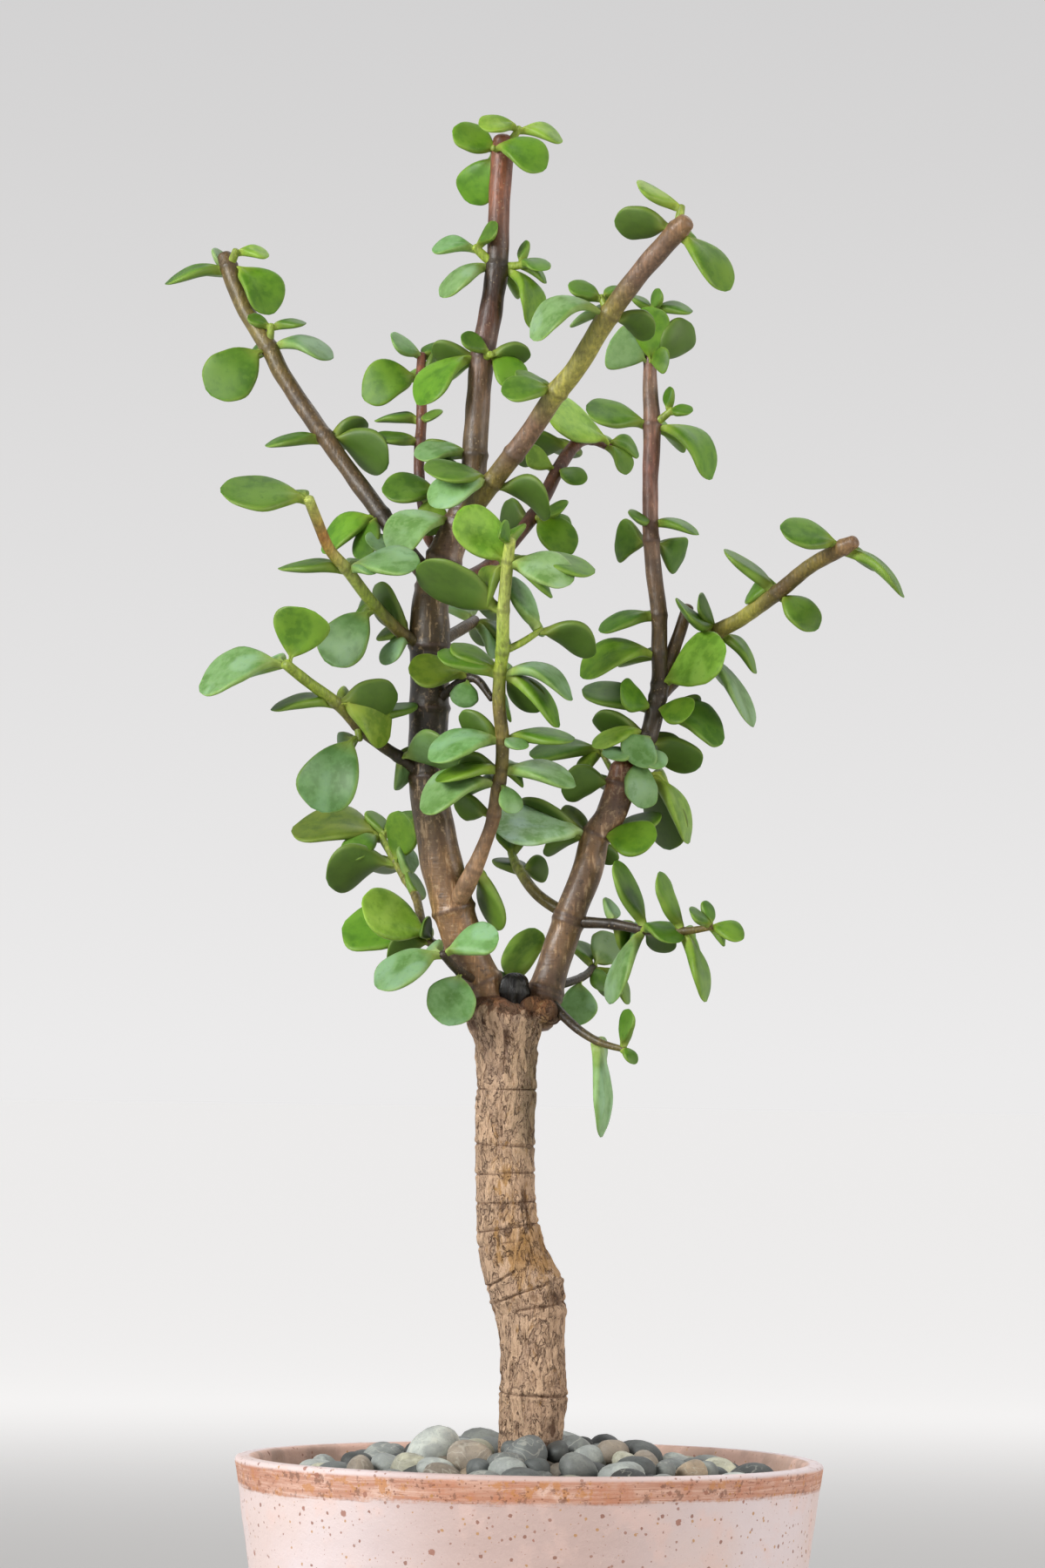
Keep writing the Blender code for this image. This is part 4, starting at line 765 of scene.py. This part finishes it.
def speckled_clay():
    """Pale pinkish clay with brown specks of many sizes, and a rust wash brushed under its pale lip."""
    f = Finish("speckled_clay", Specular_IOR_Level=0.35)
    inner, uneven, _ = f.marks()
    across, _, height = f.parts(f.place)
    broad = f.noise(26, 4)
    soft = f.noise(110, 4)
    fine = f.noise(900, 4, 0.7)
    brushed = f.grain(45, 1300, 6, 0.7, 0.5)
    patchy = f.noise(90, 5, 0.65)
    edge = (LIP_HEIGHT - BAND_HEIGHT) * MM
    drawn = height + 0.0022 * uneven + 0.003 * brushed + 0.0016 * fine - 0.0034
    band = f.step(drawn, edge - 0.0006, edge + 0.0007) * (1 - inner)
    band = band * f.step(height + 0.0008 * brushed, (LIP_HEIGHT - 0.4) * MM, (LIP_HEIGHT - 1.2) * MM)
    wash = f.lay(
        paint(200, 161, 142),
        (brushed, 0.36, 0.6, 1, (172, 120, 94)),
        (patchy, 0.5, 0.64, 0.7, (176, 112, 78)),
        (patchy, 0.44, 0.34, 0.6, (218, 188, 172)),
        (f.grain(300, 1500, 4, 0.7), 0.57, 0.66, 0.75, (130, 78, 52)),
        (f.noise(260, 4, 0.7), 0.55, 0.62, 0.75, (178, 118, 56)),
        (f.noise(420, 4, 0.7), 0.56, 0.63, 0.75, (112, 72, 50)))
    fray = f.noise(1500, 3, 0.7)
    colour = f.lay(
        paint(206, 194, 195),
        (broad, 0.36, 0.64, 1, (204, 186, 181)),
        # Painted shade: the body darker down its middle, front and back, easing out within 7.5 cm to each
        # side
        (broad * 0.05 + abs(across), 0.075, 0.03, 0.9, (180, 156, 148)),
        (soft, 0.5, 0.68, 0.45, (210, 180, 170)),
        (fine, 0.58, 0.7, 0.3, (200, 176, 168)),
        (inner, 0.8, f.lay(paint(196, 156, 136), (soft, 0.4, 0.6, 1, (160, 128, 108)))),
        (band, 0.92, wash),
        *((f.specks(scale, reach, fray), share, shade) for scale, reach, share, shade in SPECKS),
        (f.step(f.cells(650), 0.2, 0.1) * band, 0.7, (112, 68, 44)))
    return f.surface(colour, 0.58 + 0.2 * fine, (soft, 0.3, 0.0009),
                     (fine + 0.7 * brushed * band, 0.4, 0.0004))


def river_stone():
    """Smooth river stone: each stone's own tint, with cloudy veins, specks and a dull polish."""
    f = Finish("river_pebble", Specular_IOR_Level=0.45)
    tint = f.tint()
    own, other, _ = f.marks()
    clouds = f.noise(210, 4, 0.6, 0.6)
    grains = f.noise(2200, 3, 0.7)
    veins = f.noise(150, 2, 0.4, 1.6)
    colour = f.lay(
        tint,
        (clouds, 0.46, 0.66, 0.6, f.times(tint, 1.7, 1.7, 1.62)),
        (clouds, 0.46, 0.3, 0.6, f.times(tint, 0.5, 0.5, 0.48)),
        (grains, 0.56, 0.7, 0.5, f.times(tint, 0.5, 0.5, 0.5)),
        (f.step(veins, 0.47, 0.5) * f.step(veins, 0.53, 0.5) * f.step(own, 0.6, 0.7), 0.3, (196, 194, 180)))
    return f.surface(colour, 0.42 + 0.2 * clouds + 0.1 * other, (grains + clouds, 0.3, 0.0005))


def potting_soil():
    """Dark crumbly potting soil."""
    f = Finish("potting_soil", Specular_IOR_Level=0.2)
    crumbs = f.noise(500, 5, 0.7)
    colour = f.lay(paint(52, 42, 34), (crumbs, 0.4, 0.62, 1, (86, 70, 56)))
    return f.surface(colour, 0.95, (crumbs, 0.8, 0.002))


def leaf_frame(root, tip, seen_width):
    """Axes, length, width and seen share of a blade that shows seen_width (mm), as in the solids."""
    length = np.linalg.norm(tip - root)
    along = (tip - root) / length
    toward = np.array((0.0, -1.0, 0.0))
    facing = unit(toward - toward @ along * along)
    side = np.cross(along, facing)
    if side[2] < 0:
        side = -side
    seen = abs(seen_width) * MM
    width = max(LEAF_SHARE * length, seen)
    turn = math.acos(seen / width)
    upper = np.sign(seen_width) * facing * math.cos(turn) + side * math.sin(turn)
    return along, np.cross(upper, along), upper, length, width, seen / width


def leaf(shells, rng, root, tip, seen_width, tone, bow=0.0):
    """A fleshy egg-shaped blade on a short stalk, with a small point at its tip.

    At a share s of its length the half width goes as s^a (1-s)^b, which is broadest past the middle,
    and the section is a rounded lens whose margins rise a little, with a shallow groove along the top.
    """
    along, across, upper, length, width, seen = leaf_frame(root, tip, seen_width)
    s = (1 - np.cos(np.linspace(0.05, 0.97, LEAF_RINGS) * math.pi)) / 2
    wedge, blunt = rng.uniform(0.62, 0.92), rng.uniform(0.38, 0.46)
    peak = wedge / (wedge + blunt)
    blade = np.clip((s - LEAF_STALK) / (1 - LEAF_STALK), 0, 1)
    half = (blade / peak) ** wedge * ((1 - blade) / (1 - peak)) ** blunt * width * 0.52
    half = np.hypot(half, 0.6 * MM * (1 - s) ** 4)
    half = half * (1 + 0.03 * waves(rng, 3, s * 9))
    lopsided = rng.uniform(-0.14, 0.14)
    thick = LEAF_THICKNESS * MM / 2 * min(1.0, 0.55 + length / (30 * MM))
    body = thick * (0.42 * (1 - s) ** 3 + np.sin(math.pi * s ** 0.8) ** 0.55)
    turn = turns(LEAF_SIDES)
    a, h = np.cos(turn), np.sin(turn)
    a, h = np.sign(a) * np.abs(a) ** 0.8, np.sign(h) * np.abs(h) ** 0.75
    cup, sway = rng.uniform(0.0, 0.12), rng.uniform(-0.07, 0.07)
    cup = cup * (0.3 + 0.7 * seen)
    bow -= LEAF_BOW * rng.uniform(0.6, 1.6) * np.clip(2.5 * (tip[2] - root[2]) / length, -1, 1)
    phase, ripple = rng.uniform(0, math.tau), rng.uniform(0.004, 0.016)
    s, half, body = s[:, None], half[:, None], body[:, None]
    full = np.sin(math.pi * s)
    half = half * (1 + lopsided * np.sign(a) * full)
    lift = (body * h * (1 - 0.3 * hump(a, 0.16) * (h > 0) * (1 - s))
            + cup * width * a ** 2 * full
            + ripple * length * np.sin(math.tau * 1.2 * s + phase + 1.5 * a) * np.abs(a) * full
            + bow * length * 4 * s * (1 - s))
    reach = length * (s + 0.035 * np.exp(-(1 - s) / 0.012))
    drift = sway * length * full ** 2
    rise = np.array((0.0, 0.0, 1.0)) - along * along[2]
    arch = (0.04 + 4 * ripple) * length * np.sin(math.pi * s ** 0.7)
    grid = (root + along * reach[..., None] + across * (half * a + drift)[..., None]
            + upper * lift[..., None] + rise * arch[..., None])
    light = rng.uniform(0.86, 1.14)
    warm = 1 + rng.uniform(-0.09, 0.09)
    shells.add(grid, (s, np.abs(a), h > 0), np.array(tone) * light * (warm, 1, 1))


def joints_of(plan):
    """The route's points and then each twig's end, and for each the point that comes before it."""
    joints = [np.array(point, float) for point in plan.route]
    before = [0] + list(range(len(joints) - 1))
    for start, across, up, away, _ in plan.twigs:
        joints.append(joints[start] + (across, up, away))
        before.append(start)
    return joints, before


def fellows(plan):
    """Leaves that the view hides: at each joint, one behind the longest leaf, pointing away."""
    longest = {}
    for joint, across, up, _, width, tone, *_ in plan.leaves:
        reach = math.hypot(across, up)
        if reach > longest.get(joint, (FELLOW_FROM,))[0]:
            longest[joint] = (reach, across, up, width, tone)
    return [(joint, across * FELLOW_SHARE, up * FELLOW_SHARE, FELLOW_REACH, width * FELLOW_SHARE, tone)
            for joint, (_, across, up, width, tone) in longest.items() if joint not in plan.bare]


def stem(shells, rng, points, widths, skins, sides, nodes=()):
    """A tube on a smooth line, swollen at its nodes, with low dents and skin colours from foot to tip."""
    line, radius, index = smooth_line(points, widths, STEM_STEP)
    reach = min(6, (len(line) - 1) // 2)
    padded = np.concatenate([2 * line[0] - line[reach:0:-1], line, 2 * line[-1] - line[-2:-reach - 2:-1]])
    window = np.hanning(2 * reach + 3)[1:-1]
    line = np.stack([np.convolve(padded[:, k], window / window.sum(), "valid") for k in range(3)], -1)
    travelled = travel(line)
    near = np.zeros(len(line))
    for node_at in np.interp(nodes, index, travelled):
        near = np.maximum(near, hump(travelled - node_at, NODE_REACH * MM))
    near = near * np.clip((travelled[-1] - travelled) / (3 * MM), 0, 1)
    share = travelled / travelled[-1]
    line, radius = rounded_ends(line, radius * (1 + NODE_SWELL * near))
    near, share, travelled = (np.pad(rows, END_RINGS, "edge")[:, None] for rows in (near, share, travelled))
    turn = turns(sides)
    uneven = round_waves(rng, 7, 1, turn, travelled / (2.2 * MM))
    steps = np.linspace(0, 1, len(skins))
    tint = np.stack([np.interp(share, steps, part) for part in zip(*skins)], -1) * rng.uniform(0.9, 1.1)
    shells.add(sweep(line, radius[:, None] * (1 + 0.035 * uneven)), (near, share, turn / math.tau), tint, 1)


def leafy(name, plan):
    """One stem of the plant with its twigs and leaves, in place of the solid of the same name."""
    rng = np.random.default_rng(sum(map(ord, name)))
    shells = Shells()
    joints, before = joints_of(plan)
    points = place(joints)
    route = len(plan.route)
    thickness = plan.widths + [width * TWIG_TAPER for *_, width in plan.twigs]
    borne = {row[0] for row in (*plan.leaves, *plan.twigs)}
    heights = [up for _, up, _ in plan.route]
    feet = [np.interp(child.route[0][1], heights, range(route))
            for child in STEMS.values() if child.parent == name]
    nodes = sorted([joint for joint in borne if joint < route] + feet)
    stem(shells, rng, points[:route], plan.widths, plan.skins, plan.sides, nodes)
    for number, (start, *_, width) in enumerate(plan.twigs):
        ends = points[[start, route + number]]
        middle = ends.mean(0) + (0, 0, -0.04 * np.linalg.norm(ends[1] - ends[0]))
        stem(shells, rng, np.array([ends[0], middle, ends[1]]), [width, width * 0.92, width * TWIG_TAPER],
             [BROWN if width > OLD_TWIG else GREEN], TWIG_SIDES)
    for joint, across, up, away, *look in plan.leaves + fellows(plan):
        tip = place(joints[joint] + (across, up, away))[0]
        root = points[joint]
        if joint:
            back = unit(points[before[joint]] - root)
            outward = unit(tip - root - back * ((tip - root) @ back))
            root = root + back * LEAF_SINK * MM + outward * 0.3 * thickness[joint] * MM
        leaf(shells, rng, root, tip, *look)
    shells.piece(name + "_leafy", [LEAF_SKIN, STEM_SKINS[plan.slot]], plan.slot, name)


def trunk():
    """The old trunk: rings of its own route, with fissures, dents, plates and ring scars as relief."""
    rng = np.random.default_rng(5)
    line, radius, _ = smooth_line(place(TRUNK_ROUTE), TRUNK_WIDTHS, TRUNK_STEP)
    kept = (line[:, 2] > (POT_HEIGHT - BURIED) * MM) | (np.arange(len(line)) % BURIED_THINNING == 0)
    window = np.hanning(11)[1:-1]
    line, radius = line[kept], np.convolve(np.pad(radius[kept], 4, "edge"), window / window.sum(), "valid")
    line, radius = rounded_ends(line, radius, 0.3, TRUNK_END_RINGS)
    height = (line[:, 2] / MM - POT_HEIGHT)[:, None]
    front, right = -np.sin(turns(TRUNK_SIDES)), -np.cos(turns(TRUNK_SIDES))

    def skin_waves(count, bends, tall, **fineness):
        """Waves over the trunk's skin, coarse upward where tall (mm) is large."""
        return waves(rng, count, bends * front, bends * right, height / tall, **fineness)

    dents = 0.42 * skin_waves(9, 1.3, 9, fineness=0.9)
    rough = np.clip(0.55 + 0.6 * skin_waves(6, 1.6, 11), 0.15, 1)
    pits = np.clip((skin_waves(40, 15, 1.8) - 1.1) / 0.5, 0, 1) * rough
    fissure = hump(skin_waves(30, 7, 9), 0.07)
    fissure = fissure * np.clip(1.6 * skin_waves(16, 4, 3) - 0.3, 0, 1)
    fine = skin_waves(60, 15, 0.9)
    plate = np.tanh(6 * skin_waves(30, 7, 1.9)) * 0.5 + 0.5
    relief = dents + 0.13 * rough * fine + 0.3 * rough * plate - 0.35 * fissure - 0.3 * pits
    groove = np.zeros_like(relief)
    for middle, slant, depth, begin, end in RING_SCARS:
        own = height - middle - slant * right - 0.16 * skin_waves(5, 2.5, math.inf)
        where = 1.0
        if end > begin:
            where = np.clip(4 * (right - begin), 0, 1) * np.clip(4 * (end - right), 0, 1)
        worn = np.clip(0.95 + 0.3 * waves(rng, 9, 4 * front, 4 * right), 0.45, 1)
        cut = hump(own, 0.26) * where * worn
        lip = hump(own - 0.9, 0.6) * where + 0.7 * hump(own + 0.8, 0.6) * where
        groove = np.maximum(groove, cut)
        relief = relief - 0.75 * depth * cut + 0.35 * depth * lip
    for up, at, reach, depth in DIMPLES:
        gap = np.hypot((height - up) / reach, 7 * (right - at) / reach) + 4 * (front < 0)
        relief = relief - depth * hump(gap, 1) + 0.5 * depth * hump(gap - 1.5, 0.5)
        groove = np.maximum(groove, hump(gap, 0.8))
    rows = np.arange(len(line))
    relief = relief * np.clip(np.minimum(rows, rows[::-1]) / (2 * TRUNK_END_RINGS), 0, 1)[:, None]
    # The hollows: pits, fissures and ring scars, which the bark's finish darkens, partly as painted shade
    deep = np.clip(np.maximum(groove, np.maximum(fissure, pits)), 0, 1)
    ochre = hump(height - 47, 9) * np.clip(0.4 + right + 0.5 * front, 0, 1)
    ochre = ochre + 0.7 * hump(height - 67, 9) * hump(right, 0.4) * (front > 0)
    shells = Shells()
    shells.add(sweep(line, radius[:, None] + relief * MM), (deep, plate, ochre))
    for *spot, size in COLLAR_LUMPS:
        stone(shells, rng, place(spot)[0] / MM, size)
    shells.piece("old_trunk", [trunk_bark()], "trunk_bark", "trunk")


def dead_stub():
    """The short black stub in the fork: a knob with lumps, more ragged towards its rounded top."""
    rng = np.random.default_rng(8)
    line, radius, _ = smooth_line(place(DEAD_STUB_ROUTE), DEAD_STUB_WIDTHS, STUB_STEP)
    line, radius = rounded_ends(line, radius, 0.9, 12)
    turn = turns(STUB_SIDES)
    height = (line[:, 2] / MM)[:, None]
    ribs = round_waves(rng, 12, 4, turn, height / 7)
    knots = round_waves(rng, 8, 1.4, turn, height / 2)
    ragged = np.linspace(0, 1, len(line))[:, None] * 0.16 * ribs
    shells = Shells()
    shells.add(sweep(line, radius[:, None] * (1 + 0.07 * ribs + 0.15 * knots + ragged)),
               [ribs * 0.5 + 0.5] * 3)
    shells.piece("dead_wood_stub", [dead_wood()], "dead_wood", "dead_stub")


def rounded(corners, radius, steps=7):
    """A profile whose inner corners are turned into short curves that start radius from the corner."""
    corners = np.array(corners, float)
    line = [corners[:1]]
    t = np.linspace(0, 1, steps)[:, None]
    for before, corner, after in zip(corners, corners[1:], corners[2:]):
        reach = min(radius, 0.45 * np.linalg.norm(before - corner), 0.45 * np.linalg.norm(after - corner))
        start = corner + unit(before - corner) * reach
        end = corner + unit(after - corner) * reach
        line.append((1 - t) ** 2 * start + 2 * t * (1 - t) * corner + t ** 2 * end)
    return np.concatenate([*line, corners[-1:]])


def evenly(profile, step):
    """A profile read at even steps, so that its relief has points to move."""
    travelled = travel(profile)
    at = np.linspace(0, travelled[-1], int(travelled[-1] / step))
    at = np.unique(np.concatenate([at, travelled]))
    return np.stack([np.interp(at, travelled, profile[:, k]) for k in range(2)], -1)


def turned(radius, height, turn):
    """A grid in metres: a profile's radius and height in millimetres, carried round."""
    return MM * np.stack([radius * np.cos(turn), radius * np.sin(turn), height + 0 * turn], -1)


def wall_radius(height):
    """The outer radius of the pot at a height above its foot."""
    return FOOT_RADIUS + (RIM_RADIUS - FOOT_RADIUS) * height / POT_HEIGHT


def pot():
    """The turned pot: a profile of (radius, height) carried round, a little out of true, and drilled."""
    rng = np.random.default_rng(3)
    floor_edge = wall_radius(FLOOR) - WALL
    inner_rim = RIM_RADIUS - WALL
    profile = rounded([(0.5, FLOOR), (floor_edge, FLOOR), (inner_rim, LIP_HEIGHT), (RIM_RADIUS, LIP_HEIGHT),
                       (FOOT_RADIUS, 0), (0.5, 0)], POT_ROUNDING)
    profile = evenly(profile, 1.4)
    turn = turns(POT_SIDES)
    radius, height = profile[:, :1], profile[:, 1:]
    soft = round_waves(rng, 9, 1.2, turn, height / 45)
    brushed = round_waves(rng, 9, 0.9, turn, height / 1.4)
    wall = np.clip((radius - 20) / 20, 0, 1) * np.clip(height / 4, 0, 1)
    wide = radius + wall * (0.2 * soft + 0.05 * brushed - 0.14)
    tall = height + 0.22 * wall * (height > LIP_HEIGHT - 3) * round_waves(rng, 7, 1.6, turn, 0 * height)
    top = profile[:, 1].argmax()
    inner = np.clip((top + 1 - np.arange(len(profile))) / 2, 0, 1)[:, None] * (height > FLOOR - 1)
    band = round_waves(rng, 8, 2.2, turn) * 0.5 + 0.5
    shells = Shells()
    shells.add(turned(wide, tall, turn), (inner, band, 0))
    made = shells.piece("speckled_pot", [speckled_clay()], "pot_clay", "pot")
    for angle in turns(DRAINS) + DRAIN_TURN:
        bpy.ops.mesh.primitive_cylinder_add(
            vertices=48, radius=DRAIN_RADIUS * MM, depth=4 * FLOOR * MM,
            location=(DRAIN_CIRCLE * MM * math.cos(angle), DRAIN_CIRCLE * MM * math.sin(angle), 0))
        drill = bpy.context.object
        bore = made.modifiers.new("bore", "BOOLEAN")
        bore.object = drill
        bore.solver = "EXACT"
        with bpy.context.temp_override(object=made):
            bpy.ops.object.modifier_apply(modifier=bore.name)
        bpy.data.objects.remove(drill)


def ground(radius):
    """The height of the gravel above the pot's foot, at a distance from the trunk, in millimetres."""
    return BED_TOP + HEAP_HEIGHT * np.cos(math.pi / 2 * np.clip(radius / (RIM_RADIUS - WALL), 0, 1))


def stone(shells, rng, spot, size, tint=(1, 1, 1)):
    """A river stone: a ball with three unlike axes, flattened faces and low lumps, turned any way."""
    down = np.linspace(0.07, 0.93, 11)[:, None] * math.pi
    turn = turns(16)
    ball = np.stack([np.sin(down) * np.cos(turn), np.sin(down) * np.sin(turn), np.cos(down) + 0 * turn], -1)
    lumps = 1 + 0.07 * waves(rng, 6, *np.moveaxis(ball, -1, 0), fineness=1.3)
    power = rng.uniform(0.78, 1.0)
    ball = np.sign(ball) * np.abs(ball) ** power * lumps[..., None]
    axes = np.array((1.0, rng.uniform(0.7, 0.95), rng.uniform(0.55, 0.82))) * size / 2
    spin, tilt = rng.uniform(0, math.tau), rng.normal(0, 0.5)
    pose = Matrix.Rotation(spin, 3, "Z") @ Matrix.Rotation(tilt, 3, "X") @ Matrix.Rotation(tilt / 2, 3, "Y")
    shells.add(((ball * axes) @ np.array(pose).T + spot) * MM, rng.uniform(0, 1, 3), tint)


def pebbles():
    """The top dressing: a dark bed, and on it two layers of stones, each kept clear of its neighbours."""
    rng = np.random.default_rng(21)
    shells = Shells()
    edge = wall_radius(BED_TOP) - WALL
    bed_edge, hole = edge - 0.8, TRUNK_CLEARANCE - 1
    profile = np.array([(hole, ground(0) - 5), (hole, ground(0) - BED_UNDER_STONES),
                        *((r, ground(r) - BED_UNDER_STONES) for r in np.linspace(12, bed_edge, 16)),
                        (bed_edge, BED_TOP - BED_DEPTH), (hole, BED_TOP - BED_DEPTH)])
    shells.add(turned(profile[:, :1], profile[:, 1:], turns(96)), [0.5] * 3, paint(88, 84, 74))
    chances = np.array([share for _, share in STONE_COLOURS])
    chances = chances / chances.sum()
    for rise, throws, closeness, light in STONE_LAYERS:
        laid = np.zeros((0, 3))
        for _ in range(throws):
            size = rng.choice(STONE_SIZES, p=STONE_CHANCES) * rng.uniform(0.92, 1.08)
            far = math.sqrt(rng.uniform(0, 1)) * (edge - 0.42 * size)
            angle = rng.uniform(0, math.tau)
            spot = np.array((far * math.cos(angle), far * math.sin(angle)))
            gaps = np.linalg.norm(laid[:, :2] - spot, axis=1) - closeness * (laid[:, 2] + size) / 2
            if far - 0.45 * size < TRUNK_CLEARANCE or (len(laid) and gaps.min() < 0):
                continue
            laid = np.vstack([laid, (*spot, size)])
            colour, _ = STONE_COLOURS[rng.choice(len(chances), p=chances)]
            # Painted shade: the lower layer's stones are dimmed where the upper stones would shade them
            tint = np.array(paint(*colour)) * rng.uniform(0.5, 1.5) * light
            up = ground(far) + rise - 0.06 * size + rng.uniform(-0.7, 0.7)
            stone(shells, rng, (*spot, up), size, tint)
    shells.piece("river_pebbles", [river_stone()], "pebbles", "pebbles")


def soil():
    """The packed soil keeps its solid and takes a finish."""
    solid = frame["nodes"]["soil"]
    solid.data.materials.clear()
    solid.data.materials.append(potting_soil())


def camera():
    """The eye looks up a little, at the middle of the picture, and leans as the plant's frame does."""
    eye = Vector((EYE_ACROSS, -EYE_DISTANCE, POT_HEIGHT + EYE_UP)) * MM
    cos, sin = math.cos(LEAN), math.sin(LEAN)
    target = Vector((EYE_ACROSS * cos - VIEW_UP * sin, 0, POT_HEIGHT + EYE_ACROSS * sin + VIEW_UP * cos)) * MM
    ahead = (target - eye).normalized()
    right = ahead.cross(Vector((-sin, 0, cos))).normalized()
    made = bpy.data.objects.new("eye", bpy.data.cameras.new("eye"))
    made.matrix_world = (Matrix.Translation(eye)
                         @ Matrix((right, right.cross(ahead), -ahead)).transposed().to_4x4())
    made.data.sensor_width = SENSOR
    made.data.lens = SENSOR * (target - eye).length / (VIEW_HEIGHT * MM)
    made.data.clip_start = 0.05
    bpy.context.scene.collection.objects.link(made)
    bpy.context.scene.camera = made


def lamp(name, spot, size, power, colour):
    """A square soft light that faces the plant's middle."""
    light = bpy.data.lights.new(name, "AREA")
    light.size = size
    light.energy = power
    light.color = colour
    made = bpy.data.objects.new(name, light)
    made.location = spot
    made.rotation_euler = (Vector(LAMP_AIM) - Vector(spot)).to_track_quat("-Z", "Y").to_euler()
    bpy.context.scene.collection.objects.link(made)


def sky():
    """A pale sky that darkens upward."""
    world = bpy.data.worlds.new("studio")
    bpy.context.scene.world = world
    world.use_nodes = True
    tree = world.node_tree
    place, height, shade = (tree.nodes.new("ShaderNode" + kind)
                            for kind in ("TexCoord", "SeparateXYZ", "ValToRGB"))
    stops = shade.color_ramp.elements
    stops.new(SKY[1][0])
    for stop, (position, colour) in zip(stops, SKY):
        stop.position = position
        stop.color = (*paint(*colour), 1.0)
    tree.links.new(place.outputs["Generated"], height.inputs[0])
    tree.links.new(height.outputs["Z"], shade.inputs[0])
    tree.links.new(shade.outputs["Color"], tree.nodes["Background"].inputs["Color"])


def studio():
    """A wide pale floor that glows into the distance, the sky and three lamps."""
    bpy.ops.mesh.primitive_circle_add(vertices=96, radius=STUDIO_RADIUS, fill_type="NGON")
    floor = bpy.context.object
    floor.name = "studio_floor"
    pale = Finish("studio_floor", Roughness=0.9, Specular_IOR_Level=0.1, Emission_Strength=1.0)
    across, away, _ = pale.parts(pale.place)
    # Painted shade: the floor darker near the pot, turning paler with a painted glow far out to meet the sky
    far = pale.step(across * across + away * away, 0.1, 6.0)
    pale.set(Base_Color=pale.mix(far, paint(190, 188, 185), paint(250, 249, 248)),
             Emission_Color=pale.mix(far, (0, 0, 0), paint(170, 168, 165)))
    floor.data.materials.append(pale.material)
    sky()
    bpy.context.scene.view_settings.view_transform = "Standard"
    for name, spot, size, power, colour in LAMPS:
        lamp(name, spot, size, power, colour)


LEAF_SKIN = leaf_skin()
STEM_SKINS = {"leafy_stem": stem_skin(), "limb_bark": limb_bark()}

camera()
trunk()
dead_stub()
for stem_name, stem_plan in STEMS.items():
    leafy(stem_name, stem_plan)
pot()
pebbles()
soil()
studio()
